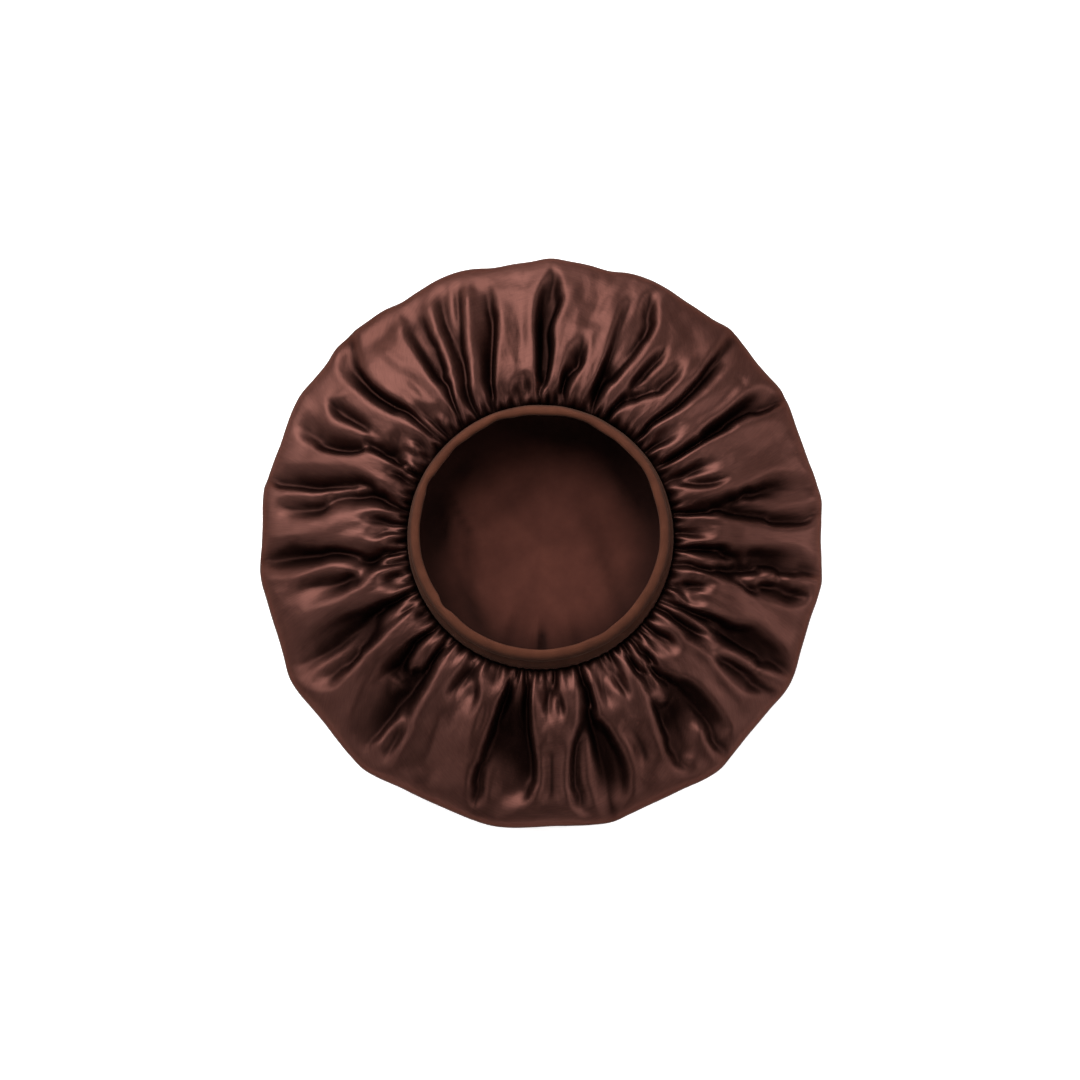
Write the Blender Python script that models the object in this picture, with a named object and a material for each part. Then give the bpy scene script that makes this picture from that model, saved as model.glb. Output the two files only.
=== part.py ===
"""Sleep bonnet of gathered satin, lying on its crown with the opening up.

Two pieces: satin_crown, one circle of satin gathered round its whole edge into
a hollow shell, and elastic_band, the knit casing with the elastic inside, which
stands on the gathered edge. Metres, +Z up. The origin is the centre of the
footprint, on the surface that the bonnet lies on.
"""

import math

import bpy
import numpy as np

MM = 0.001

# ---------------------------------------------------------------- driving sizes
CLOTH_WALL = 1.5 * MM  # wall of the satin shell
GAP = 0.35 * MM  # clearance between the gathered edge and the band
CROWN_COLUMNS = 120  # steps round the crown
BAND_COLUMNS = 96  # steps round the band
FLAT_RADIUS = 148.0 * MM  # the underside lies flat out to here
SEAM_RADIUS = 81.5 * MM  # outside of the gathered edge where it enters the band
SEAM_HEIGHT = 45.0 * MM  # top of the gathered edge
BAND_BASE_RADIUS = 79.9 * MM  # middle of the casing's wall at its foot
BAND_RIM_RADIUS = 76.2 * MM  # middle of the casing's wall at its rim
BAND_HEIGHT = 14.0 * MM  # standing height of the casing
BAND_LEAN = (-0.4 * MM, 2.2 * MM)  # how far the rim sits off the foot, X and Y
BAND_OVAL = 0.6 * MM  # the rim is this much wider in X than in Y, each side

# Widest outline of the lying crown: soft corners with nearly straight runs
# between them. Columns: direction in degrees, radius in mm.
OUTLINE_CORNERS = (
    (9.0, 177.4),
    (30.0, 178.4),
    (47.0, 178.8),
    (69.0, 179.6),
    (86.5, 179.4),
    (108.0, 178.7),
    (134.0, 178.9),
    (150.0, 178.2),
    (168.5, 177.8),
    (186.0, 178.4),
    (210.0, 180.0),
    (231.5, 181.1),
    (260.5, 180.5),
    (284.0, 180.7),
    (307.5, 180.9),
    (330.0, 179.6),
    (351.5, 177.5),
)
CORNER_SOFTNESS = 5.0  # degrees over which a corner is rounded

# Section of the shell from the band outward, round the edge and back under to
# the centre. Columns: radius in mm, height in mm, share of the fold height that
# shows there, share of the outline's corners that shows there.
SECTION = (
    (81.5, 45.0, 0.00, 0.00),
    (83.2, 42.6, 0.12, 0.00),
    (88.5, 43.6, 0.75, 0.00),
    (97.5, 46.0, 1.00, 0.00),
    (108.5, 46.8, 1.00, 0.05),
    (120.0, 46.0, 1.00, 0.15),
    (132.0, 43.6, 0.95, 0.30),
    (144.0, 39.6, 0.85, 0.50),
    (156.0, 34.2, 0.65, 0.70),
    (166.5, 28.0, 0.40, 0.85),
    (173.8, 21.2, 0.20, 1.00),
    (177.5, 13.6, 0.08, 1.00),
    (176.4, 7.4, 0.02, 1.00),
    (171.0, 3.0, 0.00, 0.85),
    (161.5, 0.8, 0.00, 0.60),
    (148.0, 0.0, 0.00, 0.25),
    (76.0, 0.0, 0.00, 0.00),
)
WIDEST = 177.5  # radius in the section that the outline table replaces

# Main folds of the gathered side. A positive height is a ridge, a negative one
# a valley. Columns: direction at the outer end, direction at the inner end
# (degrees), radius of the outer end, radius of the inner end, half width,
# height (mm).
FOLDS = (
    (5.0, 11.0, 166.0, 86.0, 7.0, -6.0),
    (0.0, 1.0, 172.0, 92.0, 6.0, 3.0),
    (22.0, 17.0, 130.0, 86.0, 6.0, 5.0),
    (33.0, 32.0, 164.0, 86.0, 9.0, -8.0),
    (45.5, 46.5, 158.0, 90.0, 6.0, -7.0),
    (39.0, 40.0, 150.0, 90.0, 7.0, 4.0),
    (49.5, 57.0, 142.0, 92.0, 5.0, 5.0),
    (63.0, 63.0, 166.0, 88.0, 6.0, 6.0),
    (68.0, 69.0, 120.0, 88.0, 5.0, -6.0),
    (76.5, 78.0, 130.0, 92.0, 6.5, 4.0),
    (85.0, 86.0, 166.0, 120.0, 6.0, 4.0),
    (88.0, 91.0, 172.0, 90.0, 6.0, -7.0),
    (96.0, 97.0, 150.0, 90.0, 6.5, 3.0),
    (103.0, 107.0, 150.0, 90.0, 6.0, -6.0),
    (108.5, 115.0, 172.0, 96.0, 5.0, 5.0),
    (113.0, 116.0, 168.0, 100.0, 5.0, -4.0),
    (118.0, 122.0, 150.0, 92.0, 5.5, 4.0),
    (128.0, 134.0, 162.0, 92.0, 7.0, 4.5),
    (139.0, 136.0, 172.0, 92.0, 7.0, -5.0),
    (147.0, 151.0, 156.0, 88.0, 6.0, -7.0),
    (156.0, 157.0, 140.0, 90.0, 6.5, 3.5),
    (167.0, 162.0, 173.0, 110.0, 8.0, -6.0),
    (169.5, 163.5, 171.0, 108.0, 4.0, 3.5),
    (174.0, 166.0, 154.0, 96.0, 6.0, -5.0),
    (177.5, 176.0, 166.0, 92.0, 6.0, 4.5),
    (184.5, 187.0, 174.0, 92.0, 6.5, -6.0),
    (197.0, 195.0, 164.0, 92.0, 7.0, 5.0),
    (205.0, 201.0, 168.0, 90.0, 8.0, -7.5),
    (214.0, 211.0, 172.0, 96.0, 6.0, 5.0),
    (225.0, 219.0, 166.0, 88.0, 7.5, -8.0),
    (236.0, 231.0, 172.0, 90.0, 6.5, 5.0),
    (243.0, 243.0, 112.0, 86.0, 6.5, -5.0),
    (247.5, 248.0, 140.0, 96.0, 6.0, 4.0),
    (253.0, 252.0, 166.0, 100.0, 5.5, 4.5),
    (262.0, 258.0, 172.0, 86.0, 10.0, -9.0),
    (269.0, 266.0, 164.0, 92.0, 5.5, 4.5),
    (276.5, 283.0, 166.0, 90.0, 6.0, 5.0),
    (287.0, 286.0, 164.0, 90.0, 7.0, -7.0),
    (291.0, 296.0, 172.0, 96.0, 6.5, 5.0),
    (302.5, 307.0, 168.0, 90.0, 7.0, -7.0),
    (307.5, 308.0, 172.0, 140.0, 5.0, 4.0),
    (313.5, 312.0, 172.0, 90.0, 7.5, -7.0),
    (321.0, 320.0, 150.0, 92.0, 6.5, 4.0),
    (325.5, 327.0, 170.0, 120.0, 4.5, -4.0),
    (329.0, 329.0, 172.0, 118.0, 4.5, 4.0),
    (333.5, 332.0, 173.0, 90.0, 7.0, -7.0),
    (341.5, 342.0, 150.0, 90.0, 7.0, 4.0),
    (347.5, 347.5, 166.0, 132.0, 5.0, -5.0),
    (351.0, 349.0, 174.0, 120.0, 4.0, 4.0),
    (355.0, 354.0, 166.0, 92.0, 6.5, -6.5),
)
FOLD_FADE_OUT = 22.0  # mm over which a fold dies away at its outer end
FOLD_FADE_IN = 10.0  # mm over which it dies away at its inner end

# Cross-section of the band's casing. Columns: distance off the middle of the
# wall (mm, outward positive), share of the standing height.
BAND_SECTION = (
    (2.0, 0.00),
    (2.6, 0.30),
    (2.5, 0.62),
    (1.9, 0.88),
    (0.0, 1.00),
    (-1.9, 0.88),
    (-2.1, 0.50),
    (-1.9, 0.00),
)

# Places where the casing is pinched on its inner side. Columns: direction in
# degrees, half width in degrees, depth in mm.
BAND_PINCHES = (
    (30.0, 10.0, 0.7),
    (72.0, 12.0, 1.1),
    (110.0, 8.0, 1.0),
    (134.0, 7.0, 0.7),
    (156.0, 7.0, 1.3),
    (218.0, 6.0, 1.3),
    (300.0, 7.0, 0.4),
)

# ------------------------------------------------------------------- functions


def turn(a, b):
    """Signed difference of two directions in degrees, from -180 to 180."""
    return (a - b + 180.0) % 360.0 - 180.0


def smooth(x):
    x = min(1.0, max(0.0, x))
    return x * x * (3.0 - 2.0 * x)


def bump(x):
    """A rounded hill of height 1 at x = 0 that ends at x = 1 and x = -1."""
    x = abs(x)
    return 0.0 if x >= 1.0 else (1.0 - x * x) ** 2


def corner_radius(angle):
    """Radius of the straight run between the two corners beside a direction."""
    rows = sorted(OUTLINE_CORNERS)
    for k, (a1, r1) in enumerate(rows):
        a2, r2 = rows[(k + 1) % len(rows)]
        span = (a2 - a1) % 360.0
        along = (angle - a1) % 360.0
        if along <= span:
            s1, s2 = math.radians(along), math.radians(span - along)
            return r1 * r2 * math.sin(s1 + s2) / (r1 * math.sin(s1) + r2 * math.sin(s2))
    return rows[0][1]


def outline_radius(angle):
    """The outline with its corners rounded, in mm."""
    steps = [k / 4.0 - 1.0 for k in range(9)]
    weights = [bump(0.8 * s) for s in steps]
    total = sum(
        w * corner_radius((angle + s * CORNER_SOFTNESS) % 360.0)
        for s, w in zip(steps, weights)
    )
    return total / sum(weights)


def fold_height(angle, radius):
    """Height of the folds over the smooth section, in mm."""
    height = 0.0
    for out_angle, in_angle, r_out, r_in, half_width, rise in FOLDS:
        share = (radius - r_in) / (r_out - r_in)
        if share < -0.2 or share > 1.2:
            continue
        centre = in_angle + (out_angle - in_angle) * min(1.0, max(0.0, share))
        across = math.radians(turn(angle, centre)) * radius / half_width
        ends = smooth((r_out - radius) / FOLD_FADE_OUT + 0.5) * smooth(
            (radius - r_in) / FOLD_FADE_IN + 0.5
        )
        height += rise * bump(across) * ends
    return height


def crown_rings():
    """Points of the shell's outer side, ring by ring, and its section's normals."""
    count = CROWN_COLUMNS
    angles = np.arange(count) * (360.0 / count)
    outline = np.array([outline_radius(a) for a in angles]) - WIDEST
    section = np.array(SECTION)
    # normal of the plain section, pointing out of the shell
    along = np.gradient(section[:, :2], axis=0)
    normal = np.stack([-along[:, 1], along[:, 0]], axis=1)
    normal /= np.linalg.norm(normal, axis=1)[:, None]
    normal[-1] = (0.0, -1.0)
    rings = np.zeros((len(section), count, 3))
    c, s = np.cos(np.radians(angles)), np.sin(np.radians(angles))
    for i, (radius, height, fold_share, corner_share) in enumerate(SECTION):
        plain = radius + corner_share * outline
        rise = np.array([fold_share * fold_height(a, radius) for a in angles])
        r = plain + rise * normal[i, 0]
        rings[i] = np.stack([r * c, r * s, height + rise * normal[i, 1]], axis=1)
    return rings


def ring_normals(rings):
    """Outward normals of a grid of rings that is closed round its columns."""
    round_way = np.roll(rings, -1, axis=1) - np.roll(rings, 1, axis=1)
    down_way = np.gradient(rings, axis=0)
    normals = np.cross(down_way, round_way)
    normals /= np.linalg.norm(normals, axis=2)[:, :, None]
    return normals


def crown_mesh():
    """Closed shell: outer side, inner side, and the gathered edge between them."""
    outer = crown_rings() * MM
    normals = ring_normals(outer)
    inner = outer - normals * CLOTH_WALL
    # the gathered edge is cut level, and the flat underside keeps a level floor
    inner[0] = outer[0]
    flat = np.linalg.norm(outer[0, :, :2], axis=1)
    inner[0, :, :2] *= ((flat - CLOTH_WALL) / flat)[:, None]
    inner[-2:, :, :2] = outer[-2:, :, :2]
    inner[-2:, :, 2] = outer[-2:, :, 2] + CLOTH_WALL
    rows, count = outer.shape[:2]
    verts = [tuple(p) for p in outer.reshape(-1, 3)]
    verts += [tuple(p) for p in inner.reshape(-1, 3)]
    verts += [(0.0, 0.0, 0.0), (0.0, 0.0, CLOTH_WALL)]
    first_inner = rows * count
    centre_out, centre_in = 2 * rows * count, 2 * rows * count + 1
    faces = []
    for j in range(count):
        k = (j + 1) % count
        for i in range(rows - 1):
            a, b = i * count + j, i * count + k
            c, d = (i + 1) * count + k, (i + 1) * count + j
            faces.append((a, d, c, b))
            a, b, c, d = (first_inner + n for n in (a, b, c, d))
            faces.append((a, b, c, d))
        last = (rows - 1) * count
        faces.append((last + j, centre_out, last + k))
        faces.append((first_inner + last + k, centre_in, first_inner + last + j))
        faces.append((j, k, first_inner + k, first_inner + j))
    return verts, faces


def band_mesh():
    """Closed ring of the casing's section, leaning and pinched by the tables."""
    verts, faces = [], []
    sides = len(BAND_SECTION)
    foot = SEAM_HEIGHT + GAP
    for j in range(BAND_COLUMNS):
        angle = 360.0 * j / BAND_COLUMNS
        c, s = math.cos(math.radians(angle)), math.sin(math.radians(angle))
        for off, share in BAND_SECTION:
            middle = BAND_BASE_RADIUS + (BAND_RIM_RADIUS - BAND_BASE_RADIUS) * share
            pinch = 0.0
            if off < 0.0:
                for at, half, depth in BAND_PINCHES:
                    pinch += depth * bump(turn(angle, at) / half) * smooth(share * 1.6)
            radius = middle + (off + pinch) * MM
            wide = BAND_OVAL * share
            x = (radius + wide) * c + BAND_LEAN[0] * share
            y = (radius - wide) * s + BAND_LEAN[1] * share
            verts.append((x, y, foot + BAND_HEIGHT * share))
    for j in range(BAND_COLUMNS):
        k = (j + 1) % BAND_COLUMNS
        for i in range(sides):
            n = (i + 1) % sides
            faces.append(
                (j * sides + i, k * sides + i, k * sides + n, j * sides + n)
            )
    return verts, faces


def material(name, color, roughness, metallic):
    made = bpy.data.materials.new(name)
    made.use_nodes = True
    shader = made.node_tree.nodes["Principled BSDF"]
    shader.inputs["Base Color"].default_value = (*color, 1.0)
    shader.inputs["Roughness"].default_value = roughness
    shader.inputs["Metallic"].default_value = metallic
    made.diffuse_color = (*color, 1.0)
    return made


def add_object(name, verts, faces, mat, shift):
    moved = [(x - shift[0], y - shift[1], z) for x, y, z in verts]
    mesh = bpy.data.meshes.new(name)
    mesh.from_pydata(moved, [], faces)
    mesh.validate()
    mesh.update()
    mesh.materials.append(mat)
    mesh.shade_smooth()
    mesh.set_sharp_from_angle(angle=math.radians(50.0))
    made = bpy.data.objects.new(name, mesh)
    bpy.context.collection.objects.link(made)
    return made


def main():
    for old in list(bpy.data.objects):
        bpy.data.objects.remove(old, do_unlink=True)
    crown = crown_mesh()
    band = band_mesh()
    # the footprint's centre is the origin
    plan = np.array(crown[0] + band[0])[:, :2]
    shift = (plan.min(axis=0) + plan.max(axis=0)) / 2.0
    satin = material("brown_satin", (0.045, 0.018, 0.016), 0.38, 0.0)
    knit = material("brown_knit", (0.127, 0.048, 0.028), 0.85, 0.0)
    add_object("satin_crown", *crown, satin, shift)
    add_object("elastic_band", *band, knit, shift)


main()
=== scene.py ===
"""The looks of a gathered satin sleep bonnet that lies on its crown, opening up.

The crown is one circle of satin, gathered into an elastic band. Its folds are
charted below as break lines; a smooth surface through them is laid on
the section of the lying crown, with the fine gathers at the band and small
wrinkles on top.
"""

import math

import bpy
import numpy as np
from mathutils import Matrix, Vector


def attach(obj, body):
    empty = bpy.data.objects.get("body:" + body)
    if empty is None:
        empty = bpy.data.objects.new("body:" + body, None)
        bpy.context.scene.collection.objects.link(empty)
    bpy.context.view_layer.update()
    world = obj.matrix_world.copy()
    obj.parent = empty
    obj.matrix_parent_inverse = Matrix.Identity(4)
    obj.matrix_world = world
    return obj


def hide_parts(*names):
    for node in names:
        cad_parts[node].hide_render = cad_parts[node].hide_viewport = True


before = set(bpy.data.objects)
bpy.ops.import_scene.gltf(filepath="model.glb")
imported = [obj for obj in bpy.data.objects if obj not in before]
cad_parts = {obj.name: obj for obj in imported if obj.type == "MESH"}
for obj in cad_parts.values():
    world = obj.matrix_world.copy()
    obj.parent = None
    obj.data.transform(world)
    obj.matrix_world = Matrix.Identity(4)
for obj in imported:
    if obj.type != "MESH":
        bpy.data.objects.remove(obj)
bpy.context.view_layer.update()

MM = 0.001

# ------------------------------------------------------------------ sizes
PX = 0.6288 * MM  # one pixel of the picture on the plane of the outline
PICTURE = 1080.0
CAM_DISTANCE = 1.60
CAM_TILT_Y = math.radians(7.0)  # how far the camera stands off straight above, towards -Y
CAM_TILT_X = math.radians(1.2)  # and towards +X
OUTLINE_HEIGHT = 15.0 * MM

CENTRE = np.array([0.64, -0.24]) * MM  # axis of the crown's section, where the band's foot is centred
SEAM_RADIUS = 81.6 * MM
CUT_RADIUS = 290.0 * MM  # radius of the flat circle of satin
WALL = 0.5  # mm of cloth between its two sides

BAND_FOOT = 45.35 * MM
BAND_HEIGHT = 14.0 * MM
BAND_BASE_RADIUS = 79.9 * MM
BAND_RIM_RADIUS = 76.2 * MM
BAND_LEAN = np.array([-0.4, 2.2]) * MM
BAND_OVAL = 0.6 * MM

# Widest outline: radius in mm at every fourth degree, from +X towards +Y.
OUTLINE = (
    174.8, 175.8, 177.7, 176.9, 175.4, 175.2, 175.8, 177.6, 179.2, 177.5, 177.2, 178.9, 180.5, 178.3, 178.0,
    178.5, 180.0, 180.7, 180.1, 178.0, 179.1, 180.0, 181.2, 179.2, 178.4, 177.9, 180.1, 181.0, 180.2, 178.5,
    177.1, 178.6, 178.9, 179.6, 179.6, 177.3, 177.4, 178.8, 178.3, 176.8, 175.8, 176.9, 178.0, 177.1, 175.7,
    175.6, 177.4, 177.3, 175.9, 175.3, 175.3, 176.6, 178.9, 178.4, 176.9, 176.4, 177.4, 178.8, 180.0, 178.5,
    176.6, 176.2, 176.3, 177.0, 178.4, 179.5, 179.1, 178.0, 177.3, 177.9, 179.1, 180.0, 178.3, 177.2, 177.1,
    177.6, 179.4, 180.2, 178.1, 176.5, 176.2, 176.7, 178.4, 178.2, 175.9, 174.8, 174.6, 175.9, 177.0, 175.6,
)

# Section of the lying crown: radius, height (mm), share of the folds, share of
# the outline's corners.
SECTION = (
    (81.6, 44.4, 0.00, 0.00),
    (83.4, 45.6, 0.35, 0.00),
    (87.5, 47.4, 0.80, 0.00),
    (94.5, 48.4, 1.00, 0.00),
    (101.0, 48.2, 1.00, 0.02),
    (109.5, 47.2, 1.00, 0.05),
    (120.0, 45.2, 1.00, 0.15),
    (132.0, 42.2, 1.00, 0.30),
    (144.0, 38.6, 1.00, 0.50),
    (155.0, 34.8, 1.00, 0.70),
    (164.0, 31.2, 1.00, 0.85),
    (170.0, 28.4, 1.00, 0.95),
    (174.2, 25.6, 0.95, 1.00),
    (176.8, 21.6, 0.80, 1.00),
    (177.6, 16.8, 0.55, 1.00),
    (176.6, 11.8, 0.32, 1.00),
    (173.4, 7.0, 0.14, 0.95),
    (167.6, 2.9, 0.04, 0.80),
    (159.0, 0.6, 0.00, 0.60),
    (148.0, 0.0, 0.00, 0.25),
)
WIDEST = 177.5

# Break lines of the gathered side, read off the picture in polar form about
# (541.5, 541): each runs from the outline towards the band as (radius in
# pixels, direction in degrees, height in mm above the smooth section). Rims and
# panels are positive, hollows negative. Between neighbouring lines the surface
# is a smooth curve.
LINES = (
    ((276, -3.0, 2.4), (255, -0.7, 3.0), (225, -0.7, 3.5), (195, -0.8, 3.5), (175, -1.0, 3.0), (150, -1.5, 2.5), (138, -1.5, 1.0)),
    ((166, 2.6, -1.0), (158, 2.5, -5.0), (148, 2.6, -7.5), (138, 3.0, -6.0)),
    ((276, 3.0, 2.4), (255, 2.6, 2.5), (225, 3.0, 3.0), (205, 3.8, 3.0), (190, 5.0, 3.2), (178, 6.5, 3.5), (165, 8.2, 3.0), (150, 8.8, 2.0), (138, 9.0, 1.0)),
    ((184, 4.6, 3.4), (176, 5.0, 3.4), (166, 5.8, 2.4), (156, 6.0, 0.5), (147, 6.4, -2.0), (140, 6.8, -4.0)),
    ((276, 6.0, -8.1), (268, 5.5, -9.9), (255, 5.0, -13.0), (240, 5.2, -14.0), (225, 6.3, -15.0), (210, 7.3, -15.5), (195, 8.5, -15.5), (180, 10.0, -15.5), (165, 10.8, -15.0), (150, 11.0, -13.0), (138, 11.3, -9.0)),
    ((276, 8.6, -0.4), (262, 8.2, -3.4), (245, 8.4, -5.0), (225, 8.9, -6.0), (205, 9.7, -9.0), (194, 10.4, -12.0), (186, 10.9, -14.0)),
    ((276, 11.0, -4.9), (262, 11.8, -6.0), (248, 12.2, -9.5), (240, 12.5, -12.0), (225, 12.8, -13.5), (210, 12.2, -14.5), (196, 11.9, -15.0), (186, 11.8, -15.0)),
    ((276, 14.5, 2.4), (262, 15.5, 2.0), (245, 16.8, 3.0), (225, 16.5, 3.0), (210, 15.2, 3.0), (195, 15.2, 3.0), (180, 15.2, 3.2), (165, 15.4, 3.0), (155, 14.8, 2.0), (148, 14.6, 1.0), (138, 14.6, 0.0)),
    ((208, 22.0, 3.4), (200, 19.0, 3.6), (193, 17.0, 3.6), (180, 16.4, 3.6), (168, 17.2, 3.6), (158, 18.6, 3.4), (150, 20.3, 3.0), (140, 21.6, 1.0)),
    ((196, 18.4, 2.4), (188, 18.5, -1.0), (178, 18.9, -4.0), (166, 20.0, -7.0), (156, 21.6, -7.5), (146, 23.0, -7.0)),
    ((200, 20.4, 2.8), (190, 20.3, 2.6), (180, 20.8, 1.6), (168, 22.0, -1.0), (158, 23.4, -3.0)),
    ((190, 24.6, 1.2), (178, 25.2, -3.5), (166, 24.8, -8.0), (154, 24.6, -9.0), (144, 26.0, -7.0), (137, 27.0, -6.0)),
    ((255, 22.0, 1.4), (225, 23.0, 1.4), (208, 25.0, 1.4), (190, 27.6, 2.0), (170, 27.8, 2.4), (155, 27.4, 2.2), (146, 28.0, 0.5)),
    ((276, 28.5, 2.4), (270, 29.0, 3.5), (255, 29.2, 4.0), (240, 29.5, 4.2), (225, 30.0, 4.2), (210, 30.5, 4.2), (195, 30.8, 4.2), (180, 30.8, 4.2), (165, 30.6, 3.6), (150, 30.2, 2.5), (138, 30.0, 1.0)),
    ((276, 30.3, -7.6), (268, 30.1, -9.2), (255, 31.2, -12.0), (245, 32.0, -15.0), (225, 31.9, -16.0), (205, 32.0, -16.5), (188, 32.0, -16.5), (172, 32.0, -16.0), (158, 32.2, -14.0), (146, 33.0, -11.0), (137, 33.5, -7.0)),
    ((276, 32.6, 0.5), (262, 33.4, -3.0), (250, 33.6, -8.0), (235, 33.5, -11.0), (215, 33.2, -12.0), (195, 33.2, -13.0)),
    ((276, 35.5, 2.4), (265, 35.8, 2.5), (245, 35.7, 3.0), (225, 35.2, 3.2), (205, 34.9, 3.2), (190, 34.4, 3.2), (178, 34.8, 3.6), (165, 34.0, 2.8), (150, 35.2, 2.0), (138, 37.0, 1.0)),
    ((178, 36.6, 3.6), (165, 36.4, 3.0), (154, 36.8, 2.6), (144, 38.4, 1.0)),
    ((250, 38.4, 1.6), (220, 38.4, 1.6), (200, 38.4, 2.0), (186, 38.2, 2.2)),
    ((177, 39.4, 2.4), (167, 39.0, -3.0), (156, 38.9, -7.0), (144, 40.2, -8.0), (137, 41.0, -6.0)),
    ((176, 41.0, 2.0), (164, 41.2, -3.0), (154, 41.4, -6.0), (144, 42.0, -6.0)),
    ((268, 41.0, 2.4), (245, 41.8, 2.6), (225, 41.8, 3.2), (205, 41.9, 3.8), (190, 41.8, 3.8), (178, 42.7, 3.6), (165, 43.9, 3.6), (152, 45.0, 3.0), (138, 45.6, 1.0)),
    ((276, 46.9, -4.4), (262, 46.4, -5.3), (255, 46.1, -8.0), (240, 45.5, -13.0), (225, 44.7, -15.0), (210, 44.3, -16.5), (195, 44.1, -16.5), (182, 44.9, -16.5), (170, 45.9, -15.5), (158, 46.6, -14.0), (146, 46.8, -11.0), (137, 47.0, -7.0)),
    ((276, 48.4, 2.4), (262, 47.6, 3.2), (245, 46.8, 3.6), (225, 46.2, 3.8), (210, 45.8, 3.8), (195, 45.7, 3.8), (180, 46.5, 3.8), (165, 47.6, 3.4), (150, 48.2, 2.0), (138, 48.5, 1.0)),
    ((262, 54.0, 1.2), (245, 52.0, 2.0), (232, 51.0, 3.0), (222, 49.6, 3.6), (210, 49.0, 4.0), (195, 49.4, 4.0), (184, 50.6, 4.0), (172, 53.2, 4.0), (162, 55.8, 4.0), (152, 57.8, 3.6), (144, 59.2, 2.5), (137, 60.0, 1.0)),
    ((240, 53.0, 2.4), (226, 53.2, 2.8), (212, 54.0, 1.6), (200, 55.0, -0.5), (190, 56.4, -4.0), (182, 57.8, -8.0)),
    ((226, 51.4, 2.0), (214, 51.2, -2.0), (202, 51.9, -7.0), (190, 53.0, -11.0), (180, 54.8, -14.0), (171, 57.2, -15.5), (160, 59.6, -15.0), (148, 61.0, -12.0), (138, 61.8, -8.0)),
    ((240, 56.0, 2.6), (226, 55.6, 2.8), (212, 55.9, 2.0), (200, 56.8, 0.0), (190, 58.0, -3.0)),
    ((228, 56.8, 1.0), (216, 57.0, -5.0), (206, 57.7, -8.0), (196, 58.4, -10.0), (186, 59.2, -13.0), (178, 59.8, -14.0)),
    ((250, 58.4, 2.2), (235, 58.0, 2.8), (222, 58.8, 3.0), (205, 59.6, 3.2), (190, 60.2, 3.2), (175, 60.8, 3.2), (160, 61.6, 3.0), (148, 62.6, 2.0), (138, 63.0, 1.0)),
    ((274, 63.8, 2.4), (262, 63.0, 3.2), (245, 61.8, 4.2), (225, 61.6, 4.2), (205, 62.2, 4.2), (190, 62.9, 4.2), (178, 63.7, 4.2), (165, 65.3, 4.2), (152, 65.2, 3.2), (140, 64.6, 1.0)),
    ((270, 66.3, -4.9), (258, 65.0, -7.0), (245, 64.0, -10.0), (232, 63.6, -11.0), (218, 63.6, -8.0), (204, 64.4, -5.0), (192, 65.8, -7.0), (181, 67.4, -13.0), (168, 68.3, -16.0), (155, 69.0, -13.0), (146, 69.8, -10.0), (137, 70.2, -6.0)),
    ((266, 67.6, 0.4), (245, 67.4, -2.2), (225, 67.4, -3.0), (205, 67.6, -4.5), (193, 68.2, -7.0)),
    ((262, 69.9, 0.6), (245, 70.0, -1.6), (225, 70.0, -2.2), (205, 69.6, -4.4), (192, 69.8, -9.0), (182, 69.9, -14.0), (168, 70.2, -15.0), (156, 71.0, -11.0)),
    ((276, 70.0, 2.4), (262, 70.8, 2.2), (245, 71.4, 2.8), (225, 71.2, 3.2), (205, 70.9, 3.4), (190, 70.8, 3.8), (178, 71.0, 4.2), (165, 71.8, 3.8), (152, 73.2, 3.0), (140, 74.2, 1.0)),
    ((211, 77.0, 3.4), (204, 74.8, 3.6), (192, 73.4, 3.6), (178, 73.2, 3.6), (165, 74.2, 3.4)),
    ((203, 76.2, 3.4), (188, 75.8, 3.4), (172, 76.8, 3.4), (160, 78.0, 3.2), (151, 79.0, 2.4), (143, 79.0, 1.0)),
    ((262, 77.0, 1.2), (245, 78.0, 1.6), (228, 78.0, 1.8), (214, 77.0, 2.2)),
    ((206, 77.9, 2.0), (198, 78.0, -4.0), (188, 78.5, -9.0), (178, 79.5, -12.0), (168, 80.6, -14.0), (158, 81.5, -13.0), (149, 82.0, -9.0), (139, 82.6, -6.0)),
    ((208, 79.4, 3.2), (198, 81.2, 3.2), (186, 82.6, 3.2), (172, 83.4, 3.2), (158, 83.6, 3.0), (145, 84.2, 1.5)),
    ((276, 86.4, 2.4), (262, 85.0, 3.6), (245, 84.2, 3.8), (232, 85.0, 3.8), (220, 86.4, 3.8), (212, 86.9, 4.2), (200, 86.2, 4.2), (188, 86.0, 4.2), (175, 86.3, 3.8), (162, 87.2, 3.2), (152, 88.6, 2.2), (141, 90.4, 1.0)),
    ((272, 87.8, -4.3), (262, 87.2, -5.2), (245, 87.3, -10.0), (230, 87.8, -13.5), (218, 88.3, -14.5), (208, 88.4, -16.0), (195, 88.0, -16.5), (180, 88.4, -15.0), (165, 88.8, -13.0), (155, 90.2, -10.0), (145, 92.0, -7.0)),
    ((268, 88.5, 0.0), (258, 89.0, -3.0), (245, 89.7, -7.0), (230, 90.3, -11.0), (215, 90.6, -13.0), (195, 90.6, -14.0), (176, 90.6, -12.0), (163, 91.2, -10.0)),
    ((276, 88.9, 2.4), (262, 89.8, 3.2), (245, 90.7, 3.6), (225, 91.4, 3.8), (205, 91.5, 3.8), (188, 91.5, 3.8), (172, 91.6, 3.6), (158, 92.5, 3.0), (149, 94.0, 2.0), (139, 96.0, 1.0)),
    ((262, 95.0, 0.4), (250, 96.0, 1.8), (225, 95.8, 1.4), (200, 96.0, 1.6), (180, 96.0, 2.2), (170, 96.4, 2.6)),
    ((170, 96.4, 2.8), (164, 95.8, -1.5), (157, 95.5, -5.0), (150, 95.8, -6.0), (144, 97.0, -5.0)),
    ((162, 96.8, -2.0), (155, 97.0, 2.0), (147, 97.8, 1.0)),
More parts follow.
